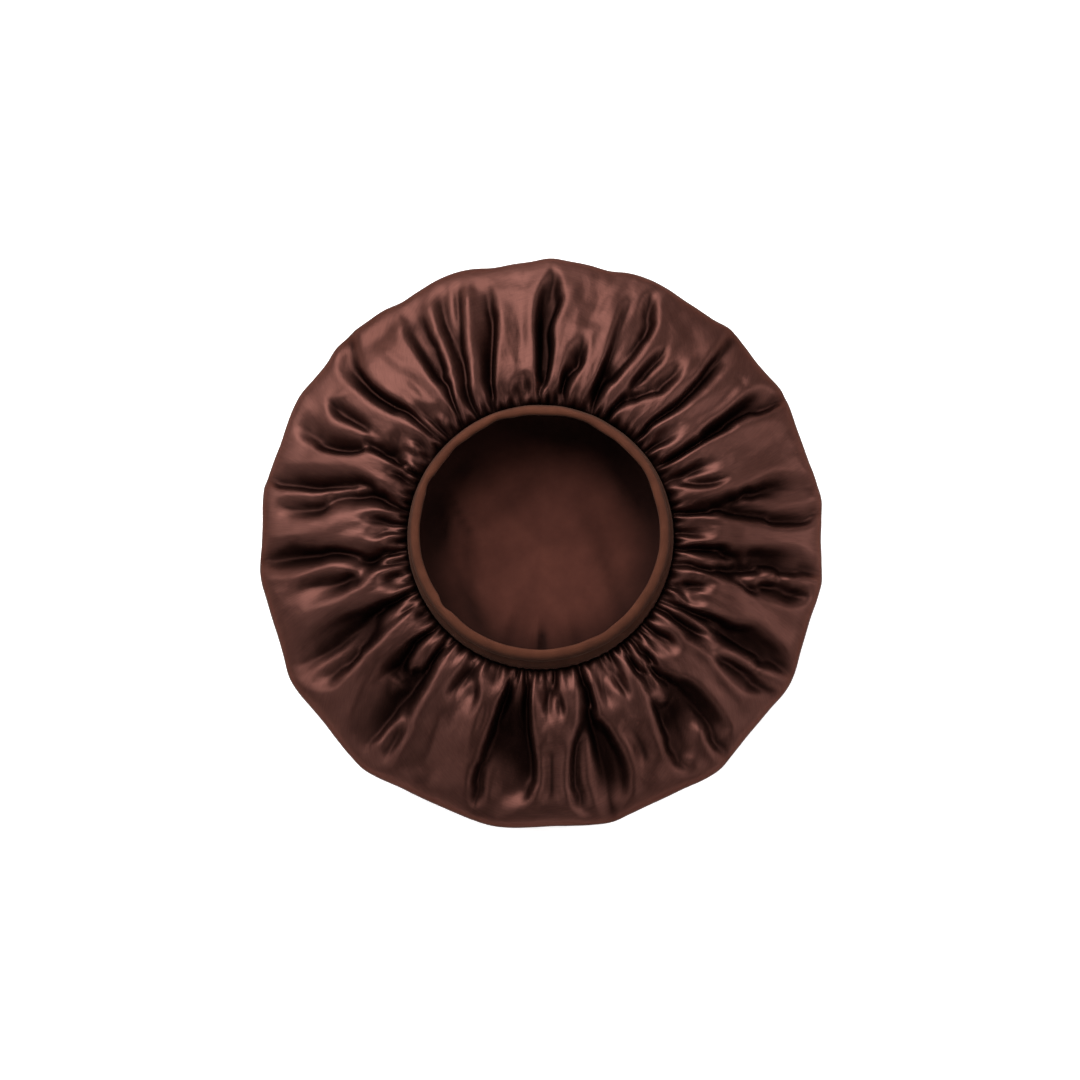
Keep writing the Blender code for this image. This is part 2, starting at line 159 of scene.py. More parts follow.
    ((166, 97.8, 2.2), (159, 98.4, -1.5), (152, 99.6, -5.0), (144, 101.0, -6.0)),
    ((176, 98.6, 3.0), (168, 99.6, 3.4), (160, 101.4, 3.2), (150, 103.0, 2.0), (140, 104.2, 0.5)),
    ((268, 100.8, 2.4), (250, 100.5, 3.2), (235, 100.7, 3.8), (222, 101.3, 4.2), (205, 102.5, 4.2), (190, 103.9, 4.0), (175, 105.4, 3.6), (162, 106.8, 3.0), (150, 107.4, 2.0), (139, 108.0, 1.0)),
    ((162, 103.8, 1.4), (154, 104.4, -1.5), (146, 105.0, -4.0)),
    ((268, 102.0, 1.2), (258, 102.0, -2.0), (245, 102.2, -5.0), (232, 102.6, -11.0), (218, 103.2, -13.0), (205, 104.2, -14.0), (190, 105.6, -15.0), (175, 107.0, -15.0), (162, 108.0, -14.0), (150, 108.8, -10.0), (140, 109.2, -6.0)),
    ((262, 104.4, 1.0), (245, 104.2, -1.0), (230, 104.6, -4.0), (215, 105.4, -5.0), (200, 106.4, -6.0), (185, 107.8, -6.0), (172, 108.8, -5.0)),
    ((240, 106.4, 1.6), (220, 107.4, 1.8), (200, 108.8, 2.0), (185, 110.0, 2.2), (170, 111.2, 2.4), (156, 111.8, 2.0), (146, 112.0, 0.5)),
    ((270, 109.8, 2.6), (252, 110.8, 2.6), (240, 111.5, 1.4), (225, 112.4, -1.5)),
    ((272, 105.6, 2.4), (258, 107.4, 3.8), (240, 108.6, 4.2), (225, 109.7, 4.2), (210, 111.0, 4.2), (195, 112.2, 4.2), (180, 113.5, 4.2), (165, 114.9, 3.8), (152, 115.6, 2.0), (140, 116.0, 1.0)),
    ((268, 108.4, -0.5), (255, 109.2, -5.0), (240, 110.2, -7.0), (225, 111.2, -8.0), (210, 112.5, -9.0), (195, 113.6, -10.0), (180, 114.9, -10.0), (166, 116.0, -9.0), (153, 116.8, -7.0), (143, 117.4, -6.0)),
    ((274, 111.6, 0.0), (262, 112.5, -5.0), (245, 113.2, -8.0), (228, 113.4, -9.0), (214, 114.0, -8.0), (200, 115.0, -5.0), (186, 116.2, -3.0)),
    ((272, 115.5, 2.4), (258, 116.0, 2.8), (240, 116.8, 3.8), (225, 117.4, 4.2), (210, 117.8, 4.2), (195, 118.5, 4.2), (182, 119.4, 4.2), (170, 120.9, 3.8), (158, 122.2, 3.2), (147, 122.6, 2.0), (138, 123.0, 1.0)),
    ((266, 119.4, 0.6), (255, 119.0, -5.0), (240, 118.9, -9.0), (225, 119.3, -10.0), (210, 119.9, -11.0), (195, 120.8, -12.0), (180, 121.8, -13.0), (165, 122.9, -13.0), (151, 123.8, -10.0), (139, 124.2, -6.0)),
    ((262, 121.4, -1.0), (245, 121.6, -5.0), (225, 121.9, -6.0), (208, 122.2, -8.0), (192, 122.6, -10.0)),
    ((270, 122.4, 2.4), (258, 123.6, 3.4), (245, 124.6, 3.8), (228, 124.6, 3.4), (210, 124.5, 3.2), (190, 124.4, 3.2), (175, 124.2, 3.2), (160, 124.6, 3.0), (149, 125.4, 1.5), (139, 126.0, 0.5)),
    ((166, 127.0, 2.0), (158, 126.2, -2.0), (150, 127.2, -5.0), (142, 128.6, -6.0)),
    ((215, 127.8, 1.4), (195, 128.6, 1.4), (178, 128.6, 2.0), (168, 128.4, 2.4)),
    ((162, 129.0, 2.8), (152, 129.2, 2.4), (145, 129.6, 1.0)),
    ((262, 127.8, 1.0), (246, 127.4, 3.2), (234, 128.6, 3.8), (222, 130.2, 3.8), (208, 131.6, 3.4), (194, 133.0, 3.2)),
    ((186, 132.4, 2.0), (174, 132.6, -3.0), (162, 132.4, -7.0), (150, 132.2, -8.0), (140, 132.4, -6.0)),
    ((276, 131.6, 2.4), (265, 132.9, 1.2), (255, 135.2, 2.4), (245, 136.7, 3.8), (230, 137.1, 4.2), (215, 136.8, 4.2), (203, 136.0, 4.2), (192, 134.9, 4.2), (180, 134.6, 3.6), (165, 134.0, 3.2), (152, 133.8, 2.0), (140, 133.8, 1.0)),
    ((276, 133.6, -4.9), (265, 136.2, -5.9), (255, 137.4, -8.0), (245, 138.0, -12.0), (230, 138.4, -14.0), (215, 138.2, -15.0), (203, 137.4, -15.0), (192, 136.4, -14.0), (180, 135.6, -11.0), (168, 135.2, -6.0), (155, 135.2, -6.0), (143, 135.6, -6.0)),
    ((268, 138.8, -2.0), (255, 139.2, -2.5), (245, 139.5, -3.0), (230, 139.7, -4.0), (212, 139.4, -3.0), (198, 138.6, -2.0)),
    ((278, 138.4, 2.4), (262, 141.4, 2.8), (245, 141.4, 2.8), (225, 141.2, 2.8), (205, 140.8, 2.6), (185, 139.2, 2.4), (174, 138.4, 2.8), (160, 138.0, 2.8), (149, 138.6, 2.0), (141, 138.6, 0.0)),
    ((170, 142.6, 2.8), (160, 141.4, -3.0), (151, 141.2, -7.0), (142, 141.6, -7.0)),
    ((168, 144.0, 3.0), (156, 143.8, 3.0), (146, 143.6, 1.0)),
    ((245, 144.0, 2.4), (215, 144.0, 1.8), (190, 144.5, 1.6), (176, 145.0, 2.2)),
    ((164, 146.4, 1.4), (154, 146.0, -4.0), (144, 145.8, -6.0)),
    ((258, 146.2, 1.6), (247, 147.0, -6.0), (232, 147.5, -8.5), (220, 147.4, -8.5), (208, 147.4, -5.0), (197, 147.6, -2.0)),
    ((278, 147.0, 2.4), (262, 147.6, 2.4), (254, 148.2, 3.2), (245, 149.6, 3.4), (238, 150.0, 3.2), (225, 149.4, 3.0), (212, 148.6, 2.8), (200, 148.4, 2.8), (190, 148.7, 2.0)),
    ((164, 148.6, 2.6), (152, 149.4, 2.4), (143, 150.0, 1.0)),
    ((270, 154.4, -5.0), (258, 155.0, -7.0), (245, 155.3, -9.0), (232, 154.9, -13.0), (220, 154.2, -14.0), (208, 152.8, -13.0), (198, 151.2, -11.0), (189, 150.2, -12.0), (180, 150.2, -15.0), (170, 150.5, -15.5), (160, 151.0, -14.0), (150, 151.8, -11.0), (139, 152.6, -7.0)),
    ((276, 157.4, 2.4), (262, 158.2, 2.8), (245, 158.2, 3.2), (225, 157.6, 3.4), (210, 156.2, 3.2), (199, 153.9, 3.2), (190, 152.6, 3.2), (180, 152.5, 3.6), (168, 153.0, 3.6), (158, 152.9, 3.2), (148, 153.6, 2.0), (139, 155.0, 1.0)),
    ((170, 156.6, 2.8), (163, 155.8, -3.0), (155, 154.8, -7.0), (147, 155.6, -7.0), (140, 157.0, -5.0)),
    ((168, 157.6, 3.0), (158, 157.4, 1.6), (150, 158.0, 1.8)),
    ((276, 161.0, 2.6), (262, 160.4, 3.2), (245, 160.2, 3.6), (225, 159.7, 3.8), (210, 159.2, 3.8), (195, 158.7, 3.8), (182, 159.0, 3.8), (168, 160.2, 3.6), (155, 161.2, 2.6), (142, 161.6, 1.0)),
    ((160, 164.0, -2.0), (152, 164.6, 1.0), (144, 165.4, 0.5)),
    ((278, 167.3, -8.5), (268, 166.9, -10.3), (255, 166.3, -13.0), (240, 165.9, -15.0), (225, 165.4, -16.0), (210, 163.8, -15.0), (195, 162.6, -12.0), (186, 162.0, -10.0), (178, 162.6, -12.0)),
    ((278, 169.4, 2.4), (262, 169.1, 3.2), (248, 168.8, 3.2), (235, 168.8, 3.0), (225, 167.8, 2.8), (212, 166.3, 2.2), (200, 165.0, 1.0), (190, 163.7, -3.0), (182, 162.9, -8.0)),
    ((268, 172.5, -1.0), (250, 172.7, -5.0), (240, 172.3, -8.0), (225, 171.4, -11.0), (210, 168.9, -12.0), (198, 167.4, -13.0), (188, 165.8, -14.0), (176, 164.3, -16.0), (165, 165.0, -14.0), (155, 166.8, -13.0), (145, 166.6, -10.0), (138, 166.6, -6.0)),
    ((276, 176.0, 2.4), (262, 176.0, 2.6), (245, 176.0, 3.2), (225, 175.4, 3.2), (210, 173.8, 3.2), (195, 172.2, 3.2), (182, 171.2, 3.4), (170, 170.0, 3.4), (158, 169.5, 2.8), (148, 170.2, 1.5), (139, 171.2, 0.5)),
    ((180, 173.6, 2.0), (171, 173.2, -3.0), (160, 172.4, -8.0), (149, 173.2, -9.0), (140, 174.0, -6.0)),
    ((178, 175.6, 3.2), (168, 175.2, 1.5), (158, 174.8, -3.0)),
    ((176, 177.4, 1.5), (165, 177.1, -4.0), (155, 176.0, -7.0), (146, 175.6, -8.0)),
    ((276, 179.0, 2.4), (262, 179.0, 3.6), (245, 178.8, 3.8), (225, 178.2, 3.8), (210, 177.5, 3.8), (195, 177.8, 3.6), (184, 179.0, 3.6), (172, 180.4, 3.6), (160, 180.0, 3.2), (150, 178.6, 2.2), (140, 178.0, 1.0)),
    ((150, 180.2, 0.0), (143, 180.6, -5.0), (138, 180.8, -5.0)),
    ((245, 181.2, -1.0), (225, 181.4, -2.0), (205, 181.4, -1.0), (185, 182.6, 0.0), (165, 182.4, 1.0), (150, 182.2, 0.5)),
    ((276, 184.0, -8.2), (262, 183.8, -11.0), (245, 183.5, -14.0), (225, 183.3, -15.0), (205, 183.7, -15.0), (190, 184.6, -13.0), (182, 185.6, -13.0), (176, 186.8, -16.0), (168, 186.6, -16.0), (158, 184.7, -14.0), (148, 184.4, -13.0), (138, 184.5, -8.0)),
    ((164, 186.8, -8.0), (158, 187.0, 0.0), (148, 186.0, 1.0), (141, 186.4, 0.0)),
    ((278, 187.5, 2.4), (262, 188.0, 2.6), (250, 188.5, 3.2), (238, 188.3, 3.2), (225, 187.8, 3.2), (212, 187.3, 2.8), (200, 187.8, 2.8), (190, 189.0, 2.8), (184, 189.4, 3.0)),
    ((155, 188.6, -9.0), (145, 188.6, -9.0), (138, 188.6, -6.0)),
    ((250, 192.0, 1.0), (236, 191.0, 0.0), (225, 191.2, -5.0), (212, 191.8, -8.0), (203, 191.6, -10.0), (195, 191.2, -12.0), (188, 191.4, -8.0), (182, 191.8, 0.0)),
    ((276, 191.4, 2.4), (265, 195.0, 3.2), (252, 197.3, 3.8), (240, 197.8, 4.2), (225, 197.3, 4.2), (210, 196.5, 4.2), (198, 196.0, 4.2), (188, 195.3, 4.2), (178, 193.8, 4.2), (168, 191.7, 4.0), (158, 190.7, 3.2), (146, 190.7, 2.0), (139, 191.6, 1.0)),
    ((168, 195.4, 2.6), (159, 194.0, -6.0), (149, 193.6, -10.0), (140, 194.0, -8.0)),
    ((164, 197.2, 2.4), (156, 197.0, -3.0), (148, 196.0, -6.0)),
    ((262, 200.2, 1.6), (240, 200.2, 2.4), (215, 199.6, 2.6), (195, 199.2, 2.8), (180, 199.2, 3.2), (168, 200.2, 3.2), (156, 200.4, 2.8), (142, 200.0, 1.0)),
    ((270, 202.6, -1.0), (255, 203.0, -4.0), (240, 203.0, -5.0), (225, 202.6, -7.0), (210, 202.2, -9.0), (196, 201.8, -9.0)),
    ((277, 206.6, -6.0), (262, 207.2, -9.0), (245, 207.3, -12.0), (230, 207.2, -13.5), (215, 206.2, -15.0), (200, 204.8, -16.5), (185, 203.2, -16.0), (165, 202.8, -16.0), (151, 202.5, -13.0), (139, 202.5, -8.0)),
    ((158, 207.6, -6.0), (148, 206.9, -9.0), (139, 206.4, -6.0)),
    ((188, 209.8, -8.0), (178, 208.8, -2.0), (165, 207.2, -2.0), (152, 205.8, -2.0), (142, 205.0, -2.0)),
    ((278, 209.8, 1.0), (262, 210.2, -2.0), (245, 210.0, -5.5), (228, 209.4, -8.0), (212, 208.4, -10.5), (200, 207.0, -13.0)),
    ((262, 212.2, -3.0), (245, 212.6, -7.5), (230, 211.9, -10.0), (215, 210.9, -12.0), (200, 209.4, -13.0), (188, 207.8, -13.5), (176, 205.8, -12.0)),
    ((150, 210.6, 2.5), (143, 210.4, -5.0), (138, 210.4, -6.0)),
    ((280, 211.8, 2.4), (268, 215.0, 3.2), (255, 216.1, 3.8), (240, 215.7, 4.2), (225, 214.2, 4.2), (210, 213.3, 4.2), (195, 212.7, 4.2), (180, 212.0, 4.2), (168, 211.2, 4.2), (158, 209.8, 3.8), (148, 208.4, 3.0), (140, 207.8, 1.5)),
    ((180, 1.6, 3.4), (172, 0.4, 3.6), (162, 359.4, 3.4), (152, 359.4, 2.6), (144, 360.0, 1.6)),
    ((272, 222.6, 2.2), (255, 222.0, 2.4), (240, 220.8, 2.4), (225, 219.4, 2.2), (212, 218.2, 1.6), (200, 217.0, 1.6), (188, 216.2, 2.6), (165, 216.5, 3.0), (152, 217.3, 2.5), (142, 217.8, 1.0)),
    ((214, 220.4, -2.0), (204, 220.8, -9.0), (193, 221.2, -15.0), (182, 220.8, -17.0), (168, 219.8, -17.0), (158, 219.4, -15.0), (147, 219.4, -12.0), (139, 219.5, -8.0)),
    ((190, 224.6, -8.0), (180, 224.0, -4.0), (168, 223.4, 0.0), (158, 222.8, 2.0), (148, 222.4, 2.2), (140, 222.6, 1.0)),
    ((270, 225.2, -1.0), (256, 225.0, -4.0), (244, 224.6, -6.0), (230, 224.2, -7.5), (216, 224.0, -9.0), (204, 224.2, -11.0)),
    ((178, 226.4, -3.0), (165, 226.2, -1.0), (152, 225.6, 0.5), (143, 225.6, 0.0)),
    ((276, 229.0, -5.0), (258, 229.2, -9.0), (245, 229.0, -12.0), (230, 228.9, -14.0), (215, 229.0, -15.0), (200, 229.4, -15.5), (185, 229.2, -15.5), (165, 228.6, -15.0), (152, 227.8, -14.0), (142, 228.0, -10.0)),
    ((270, 232.2, 2.0), (256, 231.2, 1.6), (240, 230.9, 0.6), (225, 231.3, -1.5), (214, 232.4, -3.5)),
    ((264, 234.0, 0.0), (250, 233.7, -4.0), (236, 233.5, -5.5), (224, 233.6, -4.5)),
    ((280, 234.8, 2.4), (268, 236.2, 3.6), (255, 236.1, 4.2), (240, 235.7, 4.4), (225, 235.2, 4.4), (210, 234.8, 4.4), (195, 234.2, 4.4), (180, 233.6, 4.4), (168, 232.9, 4.2), (158, 231.9, 3.6), (148, 231.3, 2.5), (140, 231.0, 1.0)),
    ((262, 241.0, -0.5), (240, 242.0, -1.5), (220, 241.4, -2.0), (204, 240.4, -1.0), (190, 238.6, 1.0), (176, 237.2, 2.6), (162, 236.6, 2.6), (150, 236.6, 2.2), (142, 237.6, 1.5)),
    ((184, 240.2, 0.0), (172, 239.8, -5.0), (160, 240.6, -9.0), (149, 241.4, -10.0), (139, 242.0, -7.0)),
    ((222, 245.4, 1.0), (208, 243.6, 0.0), (195, 242.8, -1.0), (182, 242.6, -2.0), (170, 243.0, -4.0), (160, 243.8, -7.0)),
    ((212, 247.6, 2.4), (200, 247.0, 1.4), (186, 246.2, 1.0), (174, 246.0, -2.0), (164, 246.0, -7.0), (156, 245.0, -9.0)),
    ((222, 250.0, 3.6), (208, 250.2, 4.4), (195, 250.3, 4.6), (180, 250.2, 4.6), (166, 249.4, 4.4), (155, 247.8, 4.0), (146, 245.8, 3.4), (139, 244.2, 2.0)),
    ((200, 251.9, 2.4), (185, 252.0, 2.2), (170, 251.8, 2.4)),
    ((152, 253.0, 2.0), (145, 252.0, -4.0), (139, 251.4, -5.0)),
    ((280, 256.6, 2.4), (265, 254.0, 3.8), (250, 253.3, 4.4), (235, 253.4, 4.4), (215, 253.6, 4.4), (195, 253.9, 4.4), (178, 254.3, 3.8), (165, 255.0, 3.8), (155, 256.0, 3.2), (146, 256.2, 2.0), (138, 256.0, 1.0)),
    ((270, 256.0, -5.6), (258, 255.8, -8.0), (245, 255.7, -10.0), (232, 255.4, -10.0), (218, 255.6, -9.0), (205, 256.0, -11.0), (195, 256.6, -14.0), (182, 257.2, -17.0), (168, 257.7, -17.0), (155, 257.9, -15.0), (144, 257.7, -10.0), (138, 257.6, -7.0)),
    ((276, 258.4, 1.0), (262, 258.2, -1.8), (245, 257.9, -3.8), (230, 257.6, -5.8), (218, 257.4, -8.8)),
    ((266, 260.8, -4.0), (250, 261.2, -7.0), (232, 261.2, -8.5), (212, 260.6, -11.5), (198, 260.0, -15.0)),
    ((190, 261.4, -12.0), (176, 261.7, -12.0), (162, 261.7, -9.0), (151, 261.6, -3.0), (142, 261.4, -1.0)),
    ((262, 265.6, -1.0), (246, 266.6, -8.0), (232, 267.3, -13.0), (218, 267.2, -14.5), (205, 266.2, -15.5), (190, 264.9, -17.0), (175, 264.7, -17.0), (160, 264.4, -16.0), (148, 264.3, -13.0), (139, 264.3, -8.0)),
    ((280, 263.0, 2.4), (270, 264.4, 2.6), (262, 266.8, 4.0), (254, 268.4, 4.6), (240, 269.1, 5.0), (225, 269.2, 5.0), (210, 268.8, 5.0), (195, 268.2, 5.0), (180, 267.5, 4.4), (165, 266.9, 4.2), (152, 266.4, 3.6), (144, 266.4, 2.5), (138, 266.6, 1.0)),
    ((186, 271.2, 2.6), (174, 270.4, 2.8), (162, 270.2, 2.4), (152, 271.0, 0.0)),
    ((262, 271.8, 0.8), (245, 272.4, -0.8), (230, 272.6, -1.4), (212, 272.6, -0.6), (200, 272.8, 0.6)),
    ((180, 272.8, 1.6), (168, 272.0, -2.0), (158, 272.2, -7.0), (149, 273.4, -10.0), (140, 275.0, -10.0)),
    ((188, 275.4, 3.4), (178, 274.8, 3.2), (168, 274.4, 1.0), (160, 274.2, -2.0)),
    ((176, 276.6, 1.0), (166, 276.5, -4.0), (156, 276.0, -7.0)),
    ((188, 277.2, 3.4), (178, 278.1, 3.8), (165, 278.6, 3.8), (152, 277.8, 3.0), (143, 276.9, 2.0), (137, 276.8, 1.0)),
    ((280, 278.6, 2.4), (266, 276.2, 3.8), (250, 276.0, 4.4), (235, 276.3, 4.4), (220, 276.9, 4.4), (205, 278.2, 4.4), (192, 279.5, 4.4), (178, 280.6, 3.8), (165, 281.4, 3.8), (152, 282.4, 3.2), (143, 283.2, 1.5), (137, 283.6, 0.5)),
    ((270, 279.0, -5.6), (258, 278.6, -8.0), (245, 278.7, -10.0), (230, 279.1, -10.0), (215, 279.7, -10.0), (200, 280.9, -10.0), (188, 282.2, -12.0)),
    ((278, 281.8, 0.2), (262, 281.3, -1.0), (245, 281.2, -1.8), (228, 281.5, -3.0), (212, 282.0, -5.5), (200, 282.6, -9.0), (190, 283.2, -13.0)),
    ((276, 284.6, -5.0), (262, 284.8, -9.0), (248, 285.0, -12.0), (234, 285.2, -14.5), (220, 285.2, -16.0), (205, 285.4, -17.0), (190, 285.6, -17.0), (170, 286.0, -16.0), (156, 286.4, -13.0), (144, 286.6, -9.0), (138, 286.6, -6.0)),
    ((262, 288.2, -4.0), (248, 288.6, -8.0), (235, 288.9, -10.0), (220, 288.8, -12.0), (205, 288.2, -14.0), (190, 287.6, -15.0)),
    ((278, 287.5, 2.4), (262, 289.9, 3.4), (250, 291.0, 3.8), (238, 291.9, 4.0), (225, 292.1, 4.4), (212, 291.3, 4.4), (200, 290.6, 4.4), (188, 289.7, 3.8), (175, 289.1, 3.8), (162, 289.1, 3.6), (151, 289.6, 3.0), (141, 290.6, 1.5)),
    ((180, 293.2, 2.2), (169, 292.9, -1.0), (158, 293.2, -4.0), (148, 293.8, -5.0), (141, 294.0, -4.0)),
    ((250, 295.2, 0.4), (235, 295.4, -0.6), (220, 295.6, -0.4), (205, 295.2, 0.6), (194, 295.4, 2.0)),
    ((184, 295.6, 3.4), (170, 295.4, 1.5), (158, 295.6, 0.0), (150, 296.2, -2.0)),
    ((190, 298.0, 3.4), (176, 297.6, 3.0), (164, 297.4, 1.0)),
    ((178, 298.8, 2.0), (170, 298.9, -3.0), (160, 298.9, -6.0), (150, 298.8, -9.0), (141, 299.2, -8.0)),
    ((154, 301.2, 0.0), (146, 301.0, -6.0), (139, 301.2, -5.0)),
    ((184, 300.8, 3.4), (172, 301.6, 3.2), (160, 302.0, 2.8), (148, 302.2, 1.5)),
    ((280, 301.4, 2.4), (268, 299.6, 2.8), (250, 299.2, 3.4), (235, 300.3, 3.8), (220, 301.4, 3.8), (205, 302.5, 3.8), (190, 303.4, 3.8), (175, 304.2, 3.4), (160, 304.6, 3.0), (148, 305.0, 2.0), (139, 305.6, 1.0)),
    ((270, 303.4, -5.0), (256, 301.8, -8.0), (242, 302.6, -10.0), (228, 303.6, -11.0), (215, 304.6, -14.0), (202, 305.2, -14.0), (191, 305.6, -10.0)),
    ((262, 304.2, -6.0), (245, 304.8, -9.0), (230, 306.0, -11.0), (215, 307.0, -13.0), (202, 307.4, -14.0)),
    ((188, 306.2, -1.0), (182, 305.9, -1.0), (176, 305.6, -3.0)),
    ((178, 307.2, -6.0), (168, 307.2, -13.0), (156, 307.2, -15.0), (147, 307.4, -13.0), (139, 308.0, -8.0)),
    ((278, 306.6, 0.6), (262, 306.8, -1.5), (245, 307.4, -4.5), (232, 308.4, -7.5), (218, 309.2, -11.0), (205, 309.6, -13.0), (197, 309.4, -13.0)),
    ((282, 308.4, 1.4), (262, 308.7, 1.2), (248, 309.0, 0.4), (234, 309.5, -3.0)),
    ((190, 308.0, -2.0), (180, 308.9, 0.0), (166, 309.2, 0.0), (153, 309.8, 0.5), (143, 310.2, 0.5)),
    ((276, 310.6, -8.2), (262, 311.6, -11.0), (245, 312.6, -14.0), (228, 313.0, -15.0), (212, 313.1, -16.0), (198, 312.9, -15.0), (185, 311.9, -15.0), (175, 311.6, -17.5), (162, 312.0, -17.0), (150, 312.5, -14.0), (140, 313.0, -8.0)),
    ((255, 314.6, -4.0), (235, 315.2, -6.0), (215, 315.6, -7.0), (198, 315.0, -8.0)),
    ((278, 314.4, 1.0), (262, 316.2, 1.8), (245, 317.0, 2.4), (228, 317.6, 2.8), (212, 318.0, 3.2), (198, 317.6, 3.4), (187, 316.2, 3.4), (177, 315.0, 3.8), (165, 313.9, 3.8), (153, 314.2, 3.2), (143, 315.4, 2.0), (137, 316.4, 1.0)),
    ((168, 316.4, 3.0), (160, 316.4, 1.0), (151, 316.8, -1.5), (143, 317.4, -4.0)),
    ((178, 317.4, 3.8), (168, 318.4, 2.6), (160, 319.2, -1.5), (152, 319.4, -6.0)),
    ((262, 319.0, 0.6), (240, 319.6, 1.6), (215, 320.8, 2.6), (195, 320.8, 2.8), (182, 320.6, 3.4)),
    ((174, 320.4, 2.0), (166, 321.4, -4.0), (158, 322.4, -8.0), (150, 321.6, -10.0), (142, 321.0, -8.0)),
    ((270, 323.2, 2.4), (250, 322.2, 3.4), (238, 321.8, 3.4), (225, 322.8, 3.4), (212, 324.0, 3.2), (198, 325.2, 3.2), (186, 325.6, 3.2), (174, 324.4, 3.8), (163, 325.2, 3.8), (153, 325.0, 3.2), (143, 324.2, 1.5)),
    ((276, 327.2, -5.9), (262, 326.3, -8.0), (245, 325.9, -10.0), (232, 326.0, -12.0), (218, 326.2, -10.0), (206, 326.4, -7.0)),
    ((172, 327.4, 2.4), (160, 327.8, 2.4), (150, 328.2, 2.2), (141, 328.0, 1.0)),
    ((282, 329.3, 2.4), (265, 329.2, 2.8), (250, 328.9, 3.2), (235, 328.6, 3.2), (220, 328.3, 2.8), (208, 327.8, 2.2), (199, 327.6, 1.0), (192, 327.8, -4.0)),
    ((192, 330.0, -11.0), (180, 329.4, -13.0), (166, 330.0, -14.0), (153, 330.4, -13.0), (142, 330.8, -9.0)),
    ((188, 331.8, -6.0), (178, 331.9, -4.0), (164, 332.2, -4.0), (151, 332.4, -3.0), (142, 332.6, -2.0)),
    ((276, 331.8, -7.8), (262, 332.2, -10.0), (245, 332.0, -15.0), (230, 331.8, -16.5), (215, 332.6, -17.0), (203, 333.0, -15.0), (192, 332.6, -12.0)),
    ((272, 333.4, -5.0), (258, 334.2, -8.0), (245, 334.9, -9.0), (232, 335.2, -10.0), (222, 335.8, -10.0), (210, 334.8, -13.0), (198, 334.8, -12.0), (184, 334.6, -13.0), (170, 334.2, -15.0), (156, 334.2, -13.0), (144, 334.0, -9.0)),
    ((278, 335.0, 2.4), (262, 336.6, 2.2), (250, 337.6, 2.8), (238, 338.6, 3.2), (226, 339.0, 3.2), (215, 337.8, 3.8), (202, 337.2, 3.8), (190, 337.0, 3.8), (178, 336.8, 3.8), (168, 336.0, 3.8), (158, 335.5, 3.2), (149, 336.8, 2.0), (141, 338.6, 1.0)),
    ((173, 338.4, 2.6), (164, 337.8, -3.0), (156, 338.2, -6.0), (148, 339.4, -6.0)),
    ((176, 341.6, 3.6), (166, 341.4, 3.0), (158, 340.6, 1.0)),
    ((250, 341.4, 2.0), (225, 341.6, 2.6), (205, 341.4, 3.2), (188, 341.6, 3.6)),
    ((175, 345.4, 2.0), (167, 344.4, -4.0), (158, 342.8, -9.0), (150, 341.8, -11.0), (142, 341.8, -7.0)),
    ((158, 345.6, 2.0), (149, 344.6, 2.4), (142, 344.0, 1.0)),
    ((270, 345.2, 2.4), (250, 344.0, 2.4), (235, 343.8, 2.8), (222, 344.2, 2.8), (210, 345.4, 3.2), (200, 346.6, 3.2), (190, 346.8, 2.8), (181, 346.4, 3.4), (171, 348.0, 3.8), (160, 348.8, 3.8), (151, 348.2, 3.2), (141, 347.0, 1.0)),
    ((272, 348.4, -5.5), (258, 348.0, -8.0), (245, 347.7, -10.0), (232, 347.5, -11.5), (220, 347.5, -12.0), (208, 347.8, -11.5), (199, 348.0, -10.0)),
    ((282, 351.6, 2.4), (265, 351.2, 4.0), (250, 350.9, 4.2), (235, 350.4, 4.2), (220, 350.0, 3.6), (208, 349.6, 3.0), (199, 349.1, 0.0), (193, 348.8, -6.0)),
    ((274, 352.8, -6.4), (262, 353.2, -8.0), (248, 353.6, -12.0), (235, 353.6, -15.0), (222, 353.4, -15.5), (208, 352.4, -16.0), (198, 351.0, -16.0), (190, 350.6, -16.0), (178, 350.6, -15.0), (165, 350.4, -11.0), (155, 350.6, -10.0), (144, 351.0, -8.0)),
    ((186, 353.2, -6.0), (174, 353.1, -1.0), (163, 352.4, 0.6), (153, 353.2, 0.0), (144, 353.6, -1.0)),
    ((250, 355.8, -5.0), (235, 356.4, -7.0), (218, 356.2, -9.0), (203, 355.4, -13.0)),
    ((200, 354.8, -16.0), (184, 355.8, -16.0), (170, 356.4, -15.0), (158, 356.3, -14.0), (147, 356.6, -10.0), (139, 357.0, -7.0)),
)

DEPTH = 0.62  # all hollows deeper by this factor
ROLL_RADIUS = 4.3  # mm
ROLL_SHARE = 0.9
EASE = 0.3  # how much the slow side of a hollow drags its panel down
EASE_LENGTH = 2.6  # degrees over which it does
LEAN_AXIS = 20.0  # direction in which the folds lean most
CREST_RADIUS = 3.0  # mm: crests are not tighter than this where the hollow beside them allows it
CLOSE_UP = 0.45
FOLD_LIFT = 2.3  # mm: what the hollows take off the mean height, given back

# ------------------------------------------------------------------ helpers


def turn(a, b):
    return (a - b + 180.0) % 360.0 - 180.0


def smooth(x):
    x = np.clip(x, 0.0, 1.0)
    return x * x * (3.0 - 2.0 * x)


def outline_radius(angles):
    """The outline in mm for directions in degrees, as a smooth closed curve through its table."""
    table = np.array(OUTLINE)
    step = 360.0 / len(table)
    slope = 0.5 * (np.roll(table, -1) - np.roll(table, 1))
    k = np.floor((angles % 360.0) / step).astype(int) % len(table)
    nxt = (k + 1) % len(table)
    u = (angles % 360.0) / step - k
    return (
        (2 * u**3 - 3 * u**2 + 1) * table[k]
        + (u**3 - 2 * u**2 + u) * slope[k]
        + (-2 * u**3 + 3 * u**2) * table[nxt]
        + (u**3 - u**2) * slope[nxt]
    )


